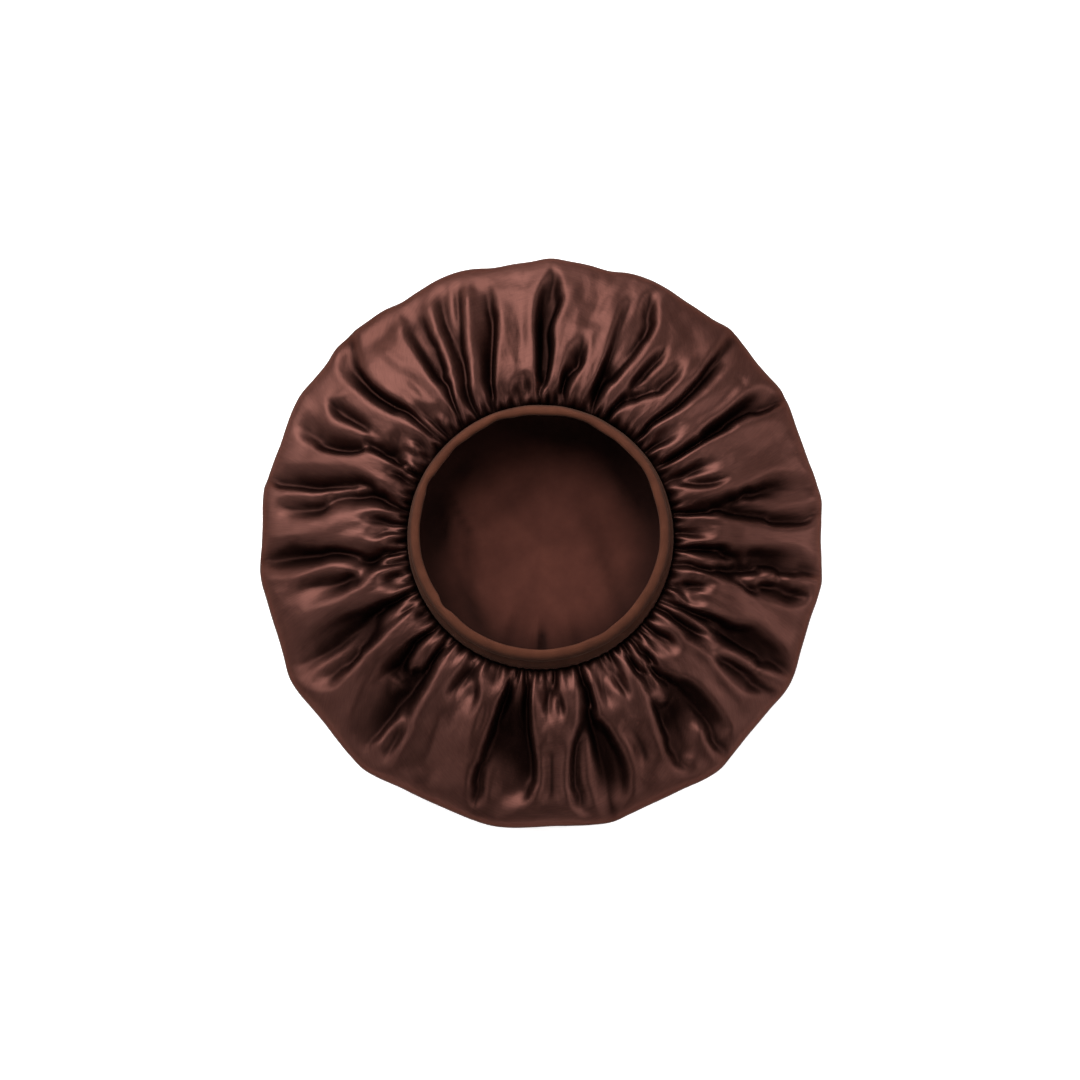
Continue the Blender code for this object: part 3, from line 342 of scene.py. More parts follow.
def section_at(count):
    """The section resampled at even steps of its own length: radius, height, fold share, corner share (mm), and the length."""
    table = np.array(SECTION)
    step = np.concatenate([[0.0], np.cumsum(np.hypot(*np.diff(table[:, :2], axis=0).T))])
    # a smooth curve through the rows: Catmull-Rom tangents
    tangent = np.gradient(table, step, axis=0)
    s = np.linspace(0.0, step[-1], count)
    k = np.clip(np.searchsorted(step, s, side="right") - 1, 0, len(step) - 2)
    h = step[k + 1] - step[k]
    u = ((s - step[k]) / h)[:, None]
    h = h[:, None]
    out = (
        (2 * u**3 - 3 * u**2 + 1) * table[k]
        + (u**3 - 2 * u**2 + u) * h * tangent[k]
        + (-2 * u**3 + 3 * u**2) * table[k + 1]
        + (u**3 - u**2) * h * tangent[k + 1]
    )
    out[:, 1] = np.maximum(out[:, 1], 0.0)
    return out, s


def picture_polar(x, y, z):
    """Where a point shows in the picture, as direction (degrees) and radius (pixels) about (541.5, 541)."""
    scale = CAM_DISTANCE / (CAM_DISTANCE - (z - OUTLINE_HEIGHT))
    px = (x - (z - OUTLINE_HEIGHT) * math.tan(CAM_TILT_X)) * scale / PX
    py = (y + (z - OUTLINE_HEIGHT) * math.tan(CAM_TILT_Y)) * math.cos(CAM_TILT_Y) * scale / PX
    # the outline's box is centred on (540.5, 542.5) in the picture
    px = px - 1.0
    py = py - 1.5
    return np.degrees(np.arctan2(py, px)) % 360.0, np.hypot(px, py)


def fold_map():
    """The break lines joined up: height in mm for each (radius, direction) of a regular polar grid in picture pixels."""
    radii = np.arange(118.0, 300.0, 1.5)
    columns = 1800
    t = np.arange(columns) * 360.0 / columns
    lines = []
    for line in LINES:
        rows = np.array(sorted(line), float)
        inner = rows[0, 0] if rows[0, 0] > 144.0 else -999.0
        outer = rows[-1, 0] if rows[-1, 0] < 274.0 else 999.0
        lines.append((rows, inner, outer))
    out = np.zeros((len(radii), columns))
    for i, r in enumerate(radii):
        at, height, share = [], [], []
        for rows, inner, outer in lines:
            s = min(smooth((r - inner + 4.0) / 16.0), smooth((outer + 9.0 - r) / 24.0))
            if s <= 0.0:
                continue
            h = np.interp(r, rows[:, 0], rows[:, 2])
            at.append(np.interp(r, rows[:, 0], rows[:, 1]) % 360.0)
            height.append(h * DEPTH if h < 0 else h)
            share.append(float(s))
        order = np.argsort(at)
        at, height, share = np.array(at)[order], np.array(height)[order], np.array(share)[order]
        whole = share >= 0.999
        without = np.interp(at, at[whole], height[whole], period=360.0)
        height = share * height + (1.0 - share) * without
        at = close_up(at, height)
        out[i] = join_up(t, at, height, math.radians(1.0) * r * PX / MM)
    for _ in range(6):
        out[1:-1] = 0.25 * out[:-2] + 0.5 * out[1:-1] + 0.25 * out[2:]
    # The cloth leans: beside a deep hollow one wall is steep and the other runs out slowly into the panel, to larger
    # directions on the right of the bonnet and to smaller ones on its left.
    deep = np.maximum(-out - 5.0, 0.0)
    onward, back, total = np.zeros_like(out), np.zeros_like(out), 0.0
    for k in range(1, 64):
        share = math.exp(-k * 0.2 / EASE_LENGTH)
        onward += share * np.roll(deep, k, axis=1)
        back += share * np.roll(deep, -k, axis=1)
        total += share
    side = np.cos(np.radians(t - LEAN_AXIS))[None, :]
    out -= EASE / total * (onward * np.clip(side + 0.2, 0.0, 1.0) + back * np.clip(0.2 - side, 0.0, 1.0))
    ball = ROLL_RADIUS * (0.5 + 0.5 * smooth((radii - 165.0) / 50.0))
    out += ROLL_SHARE * (rolled(out, np.radians(0.2) * radii * PX / MM, ball) - out)
    for _ in range(3):
        out = 0.25 * np.roll(out, 1, axis=1) + 0.5 * out + 0.25 * np.roll(out, -1, axis=1)
    return radii, out


def close_up(at, height):
    """Deep hollows moved towards the nearer of the two crests beside them, so that this wall drops steeply and the other one runs out as a slope."""
    moved = at.copy()
    n = len(at)
    for k in np.nonzero((height < -6.0) & (height <= np.roll(height, 1)) & (height <= np.roll(height, -1)))[0]:
        left, right = (at[k] - at[k - 1]) % 360.0, (at[(k + 1) % n] - at[k]) % 360.0
        if left < 3.2 and height[k - 1] > -1.0 and left < right * 1.3:
            moved[k] -= CLOSE_UP * left
        elif right < 3.2 and height[(k + 1) % n] > -1.0 and right < left * 1.3:
            moved[k] += CLOSE_UP * right
    return moved


def rolled(height, step, ball):
    """The height with its crests rounded, as if a ball of that radius were rolled along under the cloth; creases stay tight."""
    reach = int((ball / step).max()) + 1
    low, high = np.full_like(height, 1e9), np.full_like(height, -1e9)
    drops = []
    for k in range(-reach, reach + 1):
        off = k * step
        inside = np.abs(off) < ball
        drop = np.where(inside, np.sqrt(np.maximum(ball**2 - off**2, 0.0)) - ball, -1e6)[:, None]
        drops.append((k, drop))
        low = np.minimum(low, np.roll(height, k, axis=1) - drop)
    for k, drop in drops:
        high = np.maximum(high, np.roll(low, k, axis=1) + drop)
    return high


def join_up(t, at, height, degree):
    """A smooth closed curve through (at, height): round on crests, pointed at the bottom of deep hollows, never past its points. One degree is so many mm wide here."""
    n = len(at)
    gap = np.maximum((np.roll(at, -1) - at) % 360.0, 0.25)
    rise = (np.roll(height, -1) - height) / gap
    before = np.roll(rise, 1)
    same = rise * before > 0
    even = np.where(same, 2.0 * rise * before / np.where(same, rise + before, 1.0), 0.0)
    hollow = (before < 0) & (rise > 0)
    crest = (before > 0) & (rise < 0)
    sharp = np.clip((-height - 3.0) / 8.0, 0.0, 1.0) * hollow
    start = even + sharp * 1.5 * rise
    end = even + sharp * 1.5 * before
    k = (np.searchsorted(at, t, side="right") - 1) % n
    nxt = (k + 1) % n
    u = np.clip(((t - at[k]) % 360.0) / gap[k], 0.0, 1.0)
    curve = (
        (2 * u**3 - 3 * u**2 + 1) * height[k]
        + (u**3 - 2 * u**2 + u) * gap[k] * start[k]
        + (-2 * u**3 + 3 * u**2) * height[nxt]
        + (u**3 - u**2) * gap[k] * end[nxt]
    )
    # from a round crest down into a pointed hollow: a quarter of an ellipse
    roundness = (gap * degree) ** 2 / (3.0 * np.abs(rise * gap) + 0.01)  # radius of the crest without the arc
    tight = np.clip((CREST_RADIUS - roundness) / CREST_RADIUS * 1.4, 0.0, 1.0)
    falling = sharp[nxt] * crest[k] * tight[k]
    rising = sharp[k] * crest[nxt] * tight[k]
    arc_down = height[nxt] + (height[k] - height[nxt]) * np.sqrt(np.clip(1.0 - u**2, 0.0, 1.0))
    arc_up = height[k] + (height[nxt] - height[k]) * np.sqrt(np.clip(1.0 - (1.0 - u) ** 2, 0.0, 1.0))
    return curve + falling * (arc_down - curve) + rising * (arc_up - curve)


def fold_field(angle, radius):
    """Height of the charted folds in mm, for picture directions and radii."""
    radii, table = FOLD_MAP
    columns = table.shape[1]
    a = (angle % 360.0) / 360.0 * columns
    r = np.clip((radius - radii[0]) / (radii[1] - radii[0]), 0.0, len(radii) - 1.001)
    j, i = np.floor(a).astype(int), np.floor(r).astype(int)
    fa, fr = a - j, r - i
    j0, j1 = j % columns, (j + 1) % columns
    return (
        (table[i, j0] * (1 - fa) + table[i, j1] * fa) * (1 - fr)
        + (table[i + 1, j0] * (1 - fa) + table[i + 1, j1] * fa) * fr
        + FOLD_LIFT
    )


def periodic_noise(angles, bands, rng):
    """Smooth noise round the circle made of cosines: bands is (lowest, highest, strength)."""
    out = np.zeros_like(angles)
    t = np.radians(angles)
    for low, high, strength in bands:
        count = 14
        for _ in range(count):
            k = rng.randint(low, high + 1)
            out += strength / math.sqrt(count) * np.cos(k * t + rng.uniform(0, 2 * math.pi))
    return out


FOLD_MAP = fold_map()

# ------------------------------------------------------------------ the cloth


def gather_wave(angles, rng):
    """The fine gathers at the band: an uneven wave round the circle, about 95 crests, from -1 to 1."""
    phase = np.radians(angles) * 94 + periodic_noise(angles, [(3, 9, 1.6), (11, 24, 1.1)], rng)
    return np.sin(phase)


def wrinkles(angles, along, rng):
    """Small uneven wrinkles between the charted folds, in mm: long ones that run outward at a slant, and faint ones across."""
    t = np.radians(angles)[None, :]
    s = along[:, None]
    out = np.zeros((len(along), len(angles)))
    for low, high, shortest, longest, strength, count in ((26, 70, 38.0, 120.0, 0.15, 46), (70, 120, 30.0, 70.0, 0.06, 30), (2, 22, 11.0, 26.0, 0.06, 26)):
        for _ in range(count):
            k = rng.randint(low, high + 1)
            q = 2 * math.pi / rng.uniform(shortest, longest) * rng.choice([-1.0, 1.0])
            out += strength * math.sqrt(2.0 / count) * np.cos(k * t + q * s + rng.uniform(0, 2 * math.pi))
    # uneven from place to place
    where = np.zeros_like(out)
    for _ in range(16):
        k = rng.randint(2, 12)
        q = 2 * math.pi / rng.uniform(50.0, 160.0) * rng.choice([-1.0, 1.0])
        where += np.cos(k * t + q * s + rng.uniform(0, 2 * math.pi)) / 4.0
    return out * (0.75 + 0.9 * smooth(0.5 + 0.5 * where))


def start_shape(rows, columns):
    """The charted shape: the outer points (rows, columns, 3) in metres, from the band outward, over the edge and under;
    the inner points; the painted shade of each outer point, from how deep in a crease it lies and how near the band's
    foot.
    """
    table, s = section_at(rows)
    angles = np.arange(columns) * 360.0 / columns
    c, sn = np.cos(np.radians(angles)), np.sin(np.radians(angles))
    corner = outline_radius(angles) - WIDEST
    along = np.gradient(table[:, :2], axis=0)
    normal = np.stack([-along[:, 1], along[:, 0]], axis=1)
    normal /= np.linalg.norm(normal, axis=1)[:, None]
    flip = normal[rows // 3, 1] < 0
    if flip:
        normal = -normal
    plain = table[:, 0][:, None] + table[:, 3][:, None] * corner[None, :]
    # below the widest line the edge tucks in between the corners of the outline
    widest = int(np.argmax(table[:, 0]))
    below = np.where(np.arange(rows) > widest, 1.0 - table[:, 1] / table[widest, 1], 0.0)
    tuck = 4.0 * smooth(below / 0.3) * smooth((1.06 - below) / 0.5)
    loose = periodic_noise(angles, [(9, 20, 0.18), (24, 46, 0.16)], np.random.RandomState(8))
    plain = plain - tuck[:, None] * np.clip(0.45 - corner / 5.0 + loose, 0.0, 1.2)[None, :]
    x = plain * c * MM + CENTRE[0]
    y = plain * sn * MM + CENTRE[1]
    z = np.repeat(table[:, 1][:, None], columns, axis=1) * MM
    angle, radius = picture_polar(x, y, z)
    rise = fold_field(angle, radius) * table[:, 2][:, None]
    wave = gather_wave(angles, np.random.RandomState(11))
    near = np.clip(1.0 - (table[:, 0] - 81.6) / 16.0, 0.0, 1.0)[:, None] * (s < 60.0)[:, None]
    uneven = 1.0 + periodic_noise(angles, [(9, 30, 0.30)], np.random.RandomState(21))
    held = 0.25 + 0.75 * smooth((table[:, 0] - 81.6) / 3.2)[:, None]  # the seam holds the gathers down
    rise = rise + near**1.3 * held * (wave * uneven)[None, :] * 1.8
    rise = rise + wrinkles(angles, s, np.random.RandomState(31)) * (smooth((s - 4.0) / 22.0) * smooth((118.0 - s) / 24.0))[:, None]
    # towards the edge the folds go straight down, so that the outline keeps to its own table
    down = smooth((table[:, 0] - 140.0) / 26.0)
    under = np.arange(rows) > int(np.argmax(table[:, 0]))
    down[under] = 1.0
    room = np.maximum(table[:, 1] * 0.8, 0.5)[:, None]
    rise = np.where((rise < 0) & (down[:, None] > 0), -room * np.tanh(-rise / room) * down[:, None] + rise * (1.0 - down[:, None]), rise)

    def placed(height, thickness):
        n_r = (normal[:, 0] * (1.0 - down))[:, None] * height - normal[:, 0][:, None] * thickness
        n_z = (normal[:, 1] * (1.0 - down) + down)[:, None] * height - normal[:, 1][:, None] * thickness
        return np.stack([x + n_r * c * MM, y + n_r * sn * MM, z + n_z * MM], axis=2)

    # the inner side follows the lowest cloth nearby, so that it never comes through a tight crease
    low = rise
    for step in (1, 1, 1):
        low = np.minimum(low, np.minimum(np.roll(low, step, axis=1), np.roll(low, -step, axis=1)))
    for _ in range(2):
        low[1:-1] = np.minimum(low[1:-1], np.minimum(low[:-2], low[2:]))
    low = rise + (low - rise) * smooth(np.arange(rows) / 5.0)[:, None]
    # painted shade from how deep below the cloth at its sides a point lies: there it hardly sees the light
    above = rise
    for k in range(1, 5):
        above = np.maximum(above, np.maximum(np.roll(rise, k, axis=1), np.roll(rise, -k, axis=1)) - 0.4 * k)
    hollow = np.maximum(smooth((-rise - 0.6) / 5.2), 0.8 * smooth((above - rise - 1.0) / 3.0))
    # painted shade also along the bottom line of a crease: lower than the cloth on both sides of it
    for k, least in ((2, 0.24), (4, 0.8)):
        dip = 0.5 * (np.roll(rise, k, axis=1) + np.roll(rise, -k, axis=1)) - rise
        hollow = np.maximum(hollow, 0.88 * smooth((dip - least) / (0.42 * k)))
    hollow = hollow * (1.0 - 0.7 * smooth((table[:, 0] - 168.0) / 8.0))[:, None]
    # eased half way out, where the wide hollows came out darker than in the picture
    hollow = hollow * (1.0 - 0.11 * smooth((table[:, 0] - 94.0) / 14.0))[:, None]
    for _ in range(2):
        hollow = 0.25 * np.roll(hollow, 1, axis=1) + 0.5 * hollow + 0.25 * np.roll(hollow, -1, axis=1)
    # painted shade: the satin next to the band's foot is darkened in the colour
    seam = smooth((87.0 - table[:, 0]) / 4.5)[:, None] * (s < 60.0)[:, None]
    hollow = np.maximum(hollow, seam * 0.8) * (s < s[-1] * 0.8)[:, None]
    return placed(rise, 0.0), placed(low, WALL), hollow


def even_out(points, times, strength, first, last):
    """Soften the grid a little, leaving the first and last rows alone."""
    x = points.copy()
    for _ in range(times):
        mean = 0.5 * (np.roll(x, 1, axis=1) + np.roll(x, -1, axis=1))
        mean[1:-1] = 0.6 * mean[1:-1] + 0.2 * (x[:-2] + x[2:])
        x[first:-last] += strength * (mean - x)[first:-last]
    return x


def make_cloth():
    outer, inner, hollow = start_shape(90, 800)
    return even_out(outer, 2, 0.5, 2, 3), even_out(inner, 2, 0.5, 2, 3), hollow


def crown_object(cloth, lining, hollow):
    """One closed thin shell. The outer side is fine, the inner side half as fine, and the flat under the crown coarser still."""
    wall = WALL * MM
    rows, columns = cloth.shape[:2]
    verts, faces, mats, uvs = [], [], [], []
    cut = np.linspace(CUT_RADIUS, CUT_RADIUS - section_at(rows)[1][-1] * MM, rows)

    def add_ring(points, radii):
        start = len(verts)
        verts.extend(map(tuple, points))
        t = np.arange(len(points)) * 2 * math.pi / len(points)
        uvs.extend(zip(radii * np.cos(t), radii * np.sin(t)))
        return start, len(points)

    def join(a, b, out, mat):
        """Faces between two rings whose counts are equal or differ by a whole factor."""
        (sa, na), (sb, nb) = a, b
        if na == nb:
            for j in range(na):
                k = (j + 1) % na
                f = (sa + j, sb + j, sb + k, sa + k)
                faces.append(f if out else f[::-1])
                mats.append(mat)
            return
        if na < nb:
            join(b, a, not out, mat)
            return
        m = na // nb
        for j in range(nb):
            k = (j + 1) % nb
            half = m // 2
            for q in range(m):
                b1 = sb + (j if q < half or m == 1 else k)
                f = (sa + j * m + q, b1, sa + (j * m + q + 1) % na)
                faces.append(f if out else f[::-1])
                mats.append(mat)
            mid = sa + (j * m + half) % na
            f = (mid, sb + j, sb + k)
            faces.append(f if out else f[::-1])
            mats.append(mat)

    outer = [add_ring(cloth[i], np.full(columns, cut[i])) for i in range(rows)]
    for i in range(rows - 1):
        join(outer[i], outer[i + 1], True, 0)
    # the flat of the crown, outside: rings that get coarser towards the centre
    flat_start = float(np.hypot(*(cloth[-1, :, :2] - CENTRE).T).mean())
    ring = outer[-1]

    def flat_rings(z_of, first_ring, out, mat, rings):
        ring = first_ring
        plan = cloth[-1, :, :2]
        for r_share, count in rings:
            step = columns // count
            xy = CENTRE + (plan[::step] - CENTRE) * r_share
            pts = np.column_stack([xy, z_of(xy[:, 0], xy[:, 1])])
            new = add_ring(pts, np.full(count, cut[-1] * r_share))
            join(ring, new, out, mat)
            ring = new
        centre = len(verts)
        verts.append((CENTRE[0], CENTRE[1], float(z_of(np.array([CENTRE[0]]), np.array([CENTRE[1]]))[0])))
        uvs.append((0.0, 0.0))
        start, count = ring
        for j in range(count):
            f = (start + j, centre, start + (j + 1) % count)
            faces.append(f if out else f[::-1])
            mats.append(mat)

    under = ((0.955, 400), (0.90, 200), (0.80, 100), (0.68, 100), (0.55, 50), (0.42, 50), (0.28, 50), (0.12, 25))
    flat_rings(lambda x, y: floor_lift(x, y, creased=False) * 0.6, ring, True, 0, under)
    # inner side
    inner_rows = sorted(set(range(0, 9, 2)) | set(range(9, rows, 3)))
    if inner_rows[-1] != rows - 1:
        inner_rows.append(rows - 1)
    inner_pts = lining.copy()
    inner_pts[:, :, 2] = np.maximum(inner_pts[:, :, 2], wall)
    inner_pts[-1, :, :2] = cloth[-1, :, :2]
    inner_pts[-1, :, 2] = cloth[-1, :, 2] + wall
    inner = [add_ring(inner_pts[i, ::2], np.full(columns // 2, cut[i])) for i in inner_rows]
    for a, b in zip(inner[:-1], inner[1:]):
        join(a, b, False, 1)
    floor_start = len(verts)
    seen = [(0.96, 400), (0.91, 200), (0.85, 200), (0.78, 200), (0.71, 200), (0.64, 200)]
    seen += [(0.61 - 0.032 * k, 200) for k in range(15)] + [(0.13, 50), (0.09, 50), (0.045, 25)]
    flat_rings(lambda x, y: floor_lift(x, y) + wall, inner[-1], False, 1, seen)
    join(outer[0], inner[0], False, 0)
    mesh = bpy.data.meshes.new("crown_satin")
    mesh.from_pydata(verts, [], faces)
    layer = mesh.uv_layers.new(name="cut")
    loops = np.zeros(len(mesh.loops), np.int32)
    mesh.loops.foreach_get("vertex_index", loops)
    layer.data.foreach_set("uv", np.array(uvs, np.float32)[loops].ravel())
    mesh.polygons.foreach_set("material_index", np.array(mats, np.int32))
    mesh.polygons.foreach_set("use_smooth", np.ones(len(mats), bool))
    # painted shade for the satin's colour: from how deep in a crease each point of the outer side lies and how near the
    # band's foot, and on the inner bottom from floor_shade
    deep = mesh.attributes.new("hollow", "FLOAT", "POINT")
    values = np.zeros(len(verts), np.float32)
    values[: rows * columns] = hollow.ravel()
    spot = np.array(verts)
    values[floor_start:] = floor_shade(spot[floor_start:, 0], spot[floor_start:, 1])
    deep.data.foreach_set("value", values)
    mesh.update()
    made = bpy.data.objects.new("crown_satin", mesh)
    bpy.context.scene.collection.objects.link(made)
    return made


# Soft creases of the cloth on the bottom: middle (mm), direction (degrees), half length, half width, height (mm).
FLOOR_CREASES = (
    (-57.0, 13.0, -90.0, 15.0, 8.0, 2.7),
    (-47.0, 16.0, -63.0, 16.0, 2.6, 1.5),
    (-41.0, -4.0, -78.0, 14.0, 5.0, 1.7),
    (-39.0, -34.0, -66.0, 20.0, 6.0, 1.9),
    (-24.0, 33.0, 40.0, 26.0, 7.0, 1.0),
    (-46.0, 44.0, 226.0, 9.0, 5.0, 1.0),
    (14.0, 64.0, 168.0, 24.0, 8.0, 1.6),
    (51.0, 35.0, 124.0, 20.0, 8.0, 1.9),
    (38.0, -18.0, 107.0, 26.0, 6.0, 1.5),
    (-2.4, -61.0, 90.0, 9.0, 3.4, 3.2),
    (-22.0, -52.0, 76.0, 14.0, 4.0, 0.9),
    (18.0, -54.0, 100.0, 12.0, 4.0, 0.9),
    (24.0, 12.0, 98.0, 24.0, 7.0, 0.6),
)


def floor_lift(x, y, creased=True):
    """How far the crown's flat lies off the surface, in metres: slack cloth barely lifts, apart from its soft creases."""
    u, v = x / MM, y / MM
    r = np.hypot(u, v)
    swell = (
        1.1 * np.sin(u / 27.0 + 0.6) * np.sin(v / 33.0 + 1.1)
        + 0.6 * np.sin((u * 0.8 + v * 0.6) / 13.0 + 0.3)
        + 0.4 * np.sin((u * 0.35 - v * 0.94) / 10.5 + 2.0)
    )
    fade = np.clip((140.0 - r) / 50.0, 0.0, 1.0)
    lift = np.maximum(swell * fade, 0.0)
    for x0, y0, direction, length, width, height in FLOOR_CREASES if creased else ():
        c, sn = math.cos(math.radians(direction)), math.sin(math.radians(direction))
        a = (u - x0) * c + (v - y0) * sn
        b = -(u - x0) * sn + (v - y0) * c
        # one flank of a crease is steeper than the other
        b = np.where(b > 0, b / width, b / (width * 0.55))
        lift = lift + height * np.exp(-b * b) * np.exp(-((a / length) ** 2)) * smooth((146.0 - r) / 10.0)
    return lift * MM


def floor_shade(x, y):
    """How much the creases of the bottom keep the light off the cloth beside them, from 0 to 1."""
    u, v = x / MM, y / MM
    # shade held in the colour: the lights here leave the bottom near the band paler than in the picture
    out = 0.75 * smooth((np.hypot(u, v) - 44.0) / 30.0)
    for x0, y0, direction, length, width, height in FLOOR_CREASES:
        c, sn = math.cos(math.radians(direction)), math.sin(math.radians(direction))
        a = (u - x0) * c + (v - y0) * sn
        b = -(u - x0) * sn + (v - y0) * c + width * 0.9
        out = out + min(height / 4.2, 0.75) * np.exp(-((b / (width * 0.9)) ** 2)) * np.exp(-((a / length) ** 2))
    return np.clip(out, 0.0, 0.88)


# ------------------------------------------------------------------ the band

BAND_SECTION = (
    (1.0, -0.02),
    (2.0, 0.02),
    (2.5, 0.10),
    (2.6, 0.22),
    (2.45, 0.34),
    (2.0, 0.44),
    (1.2, 0.50),
    (0.9, 0.53),
    (1.3, 0.57),
    (2.0, 0.64),
    (2.3, 0.73),
    (2.15, 0.84),
    (1.4, 0.94),
    (0.1, 0.995),
    (-1.6, 1.00),
    (-3.0, 0.955),
    (-3.8, 0.87),
    (-4.0, 0.75),
    (-3.5, 0.61),
    (-2.9, 0.50),
    (-2.7, 0.40),
    (-2.5, 0.28),
    (-2.1, 0.12),
    (-1.2, 0.0),
)
BAND_PINCHES = (
    (30.0, 10.0, 0.7),
    (72.0, 12.0, 1.1),
    (110.0, 8.0, 1.0),
    (134.0, 7.0, 0.7),
    (156.0, 7.0, 1.3),
    (218.0, 6.0, 1.3),
    (300.0, 7.0, 0.4),
)


def band_object():
    columns = 720
    angles = np.arange(columns) * 360.0 / columns
    c, sn = np.cos(np.radians(angles)), np.sin(np.radians(angles))
    rng = np.random.RandomState(5)
    wobble = periodic_noise(angles, [(4, 9, 0.25), (12, 26, 0.12)], rng)
    pinch = np.zeros(columns)
    for at, half, depth in BAND_PINCHES:
        u = np.clip(np.abs(turn(angles, at)) / half, 0, 1)
        pinch += depth * (1 - u * u) ** 2
    table = np.array(BAND_SECTION)
    # resample the closed section smoothly
    closed = np.vstack([table, table[:1]])
    step = np.concatenate([[0], np.cumsum(np.hypot(np.diff(closed[:, 0]), np.diff(closed[:, 1]) * 14.0))])
    n = 44
    s = np.linspace(0, step[-1], n, endpoint=False)
    off = np.interp(s, step, closed[:, 0])
    share = np.interp(s, step, closed[:, 1])
    for _ in range(2):
        off = 0.25 * np.roll(off, 1) + 0.5 * off + 0.25 * np.roll(off, -1)
        share = 0.25 * np.roll(share, 1) + 0.5 * share + 0.25 * np.roll(share, -1)
    pts = np.zeros((n, columns, 3))
    for i in range(n):
        middle = (BAND_BASE_RADIUS + (BAND_RIM_RADIUS - BAND_BASE_RADIUS) * share[i]) / MM
        inward = 1.0 if off[i] < 0 else max(0.0, 1.0 - off[i] / 1.2) * 0.4
        r = middle + off[i] + wobble * (0.3 + 0.7 * share[i]) + pinch * inward * smooth(share[i] * 1.6)
        wide = BAND_OVAL / MM * share[i]
        pts[i, :, 0] = ((r + wide) * c) * MM + BAND_LEAN[0] * share[i] + CENTRE[0]
        pts[i, :, 1] = ((r - wide) * sn) * MM + BAND_LEAN[1] * share[i] + CENTRE[1]
        pts[i, :, 2] = BAND_FOOT + BAND_HEIGHT * share[i]
    verts = [tuple(p) for p in pts.reshape(-1, 3)]
    faces = []
    uv = []
    for i in range(n):
        k = (i + 1) % n
        for j in range(columns):
            m = (j + 1) % columns
            faces.append((i * columns + j, i * columns + m, k * columns + m, k * columns + j))
            uv.extend([(j / columns, i / n), ((j + 1) / columns, i / n), ((j + 1) / columns, (i + 1) / n), (j / columns, (i + 1) / n)])
    mesh = bpy.data.meshes.new("band_knit")
    mesh.from_pydata(verts, [], faces)
    layer = mesh.uv_layers.new(name="knit")
    layer.data.foreach_set("uv", np.array(uv, np.float32).ravel())
    mesh.polygons.foreach_set("use_smooth", np.ones(len(faces), bool))
    rise = mesh.attributes.new("rise", "FLOAT", "POINT")
    rise.data.foreach_set("value", np.repeat(np.clip(share, 0.0, 1.0), columns).astype(np.float32))
    mesh.update()
    made = bpy.data.objects.new("band_knit", mesh)
    bpy.context.scene.collection.objects.link(made)
    return made


# ------------------------------------------------------------------ materials


def new_material(name):
    mat = bpy.data.materials.new(name)
    mat.use_nodes = True
    nodes, links = mat.node_tree.nodes, mat.node_tree.links
    shader = nodes["Principled BSDF"]
    return mat, nodes, links, shader


def node(nodes, kind, **inputs):
    made = nodes.new(kind)
    for key, value in inputs.items():
        made.inputs[key.replace("_", " ")].default_value = value
    return made


def satin_outside():
    mat, nodes, links, shader = new_material("satin_face")
    uv = nodes.new("ShaderNodeUVMap")
    uv.uv_map = "cut"
    coarse = node(nodes, "ShaderNodeTexNoise", Scale=9.0, Detail=3.0, Roughness=0.55)
    # the floats of the weave lie along X of the cut circle and catch the light in short streaks
    along = nodes.new("ShaderNodeMapping")
    along.inputs["Scale"].default_value = (90.0, 1100.0, 1.0)
    fine = node(nodes, "ShaderNodeTexNoise", Scale=1.0, Detail=2.0, Roughness=0.6)
    links.new(uv.outputs["UV"], coarse.inputs["Vector"])
    links.new(uv.outputs["UV"], along.inputs["Vector"])
    links.new(along.outputs["Vector"], fine.inputs["Vector"])
    ramp = nodes.new("ShaderNodeValToRGB")
    ramp.color_ramp.elements[0].position = 0.3
    ramp.color_ramp.elements[0].color = (0.0475, 0.0186, 0.0145, 1)
    ramp.color_ramp.elements[1].position = 0.72
    ramp.color_ramp.elements[1].color = (0.0722, 0.0300, 0.0241, 1)
    links.new(coarse.outputs["Fac"], ramp.inputs["Fac"])
    # painted shade: the bottoms of deep creases, where the layers lie against each other, hardly see the light, so the
    # colour there is darkened; so is the satin at the band's foot
    deep = nodes.new("ShaderNodeAttribute")
    deep.attribute_name = "hollow"
    shade = nodes.new("ShaderNodeMapRange")
    shade.inputs["To Min"].default_value = 1.0
    shade.inputs["To Max"].default_value = 0.03
    links.new(deep.outputs["Fac"], shade.inputs["Value"])
    streak = nodes.new("ShaderNodeMapRange")
    streak.inputs["From Min"].default_value = 0.3
    streak.inputs["From Max"].default_value = 0.7
    streak.inputs["To Min"].default_value = 0.87
    streak.inputs["To Max"].default_value = 1.13
    links.new(fine.outputs["Fac"], streak.inputs["Value"])
    both = nodes.new("ShaderNodeMath")
    both.operation = "MULTIPLY"
    links.new(shade.outputs["Result"], both.inputs[0])
    links.new(streak.outputs["Result"], both.inputs[1])
    darker = nodes.new("ShaderNodeVectorMath")
    darker.operation = "SCALE"
    links.new(ramp.outputs["Color"], darker.inputs[0])
    links.new(both.outputs[0], darker.inputs["Scale"])
    links.new(darker.outputs["Vector"], shader.inputs["Base Color"])
    slack = node(nodes, "ShaderNodeTexNoise", Scale=75.0, Detail=3.0, Roughness=0.5)
    links.new(uv.outputs["UV"], slack.inputs["Vector"])
    soft = node(nodes, "ShaderNodeBump", Strength=1.0, Distance=0.0005)
    links.new(slack.outputs["Fac"], soft.inputs["Height"])
    bump = node(nodes, "ShaderNodeBump", Strength=0.5, Distance=0.00003)
    links.new(fine.outputs["Fac"], bump.inputs["Height"])
    links.new(soft.outputs["Normal"], bump.inputs["Normal"])
    links.new(bump.outputs["Normal"], shader.inputs["Normal"])
    shader.inputs["Roughness"].default_value = 0.475
    shader.inputs["Metallic"].default_value = 1.0
    shader.inputs["Specular Tint"].default_value = (0.48, 0.45, 0.44, 1)
    shader.inputs["Specular IOR Level"].default_value = 0.3
    return mat


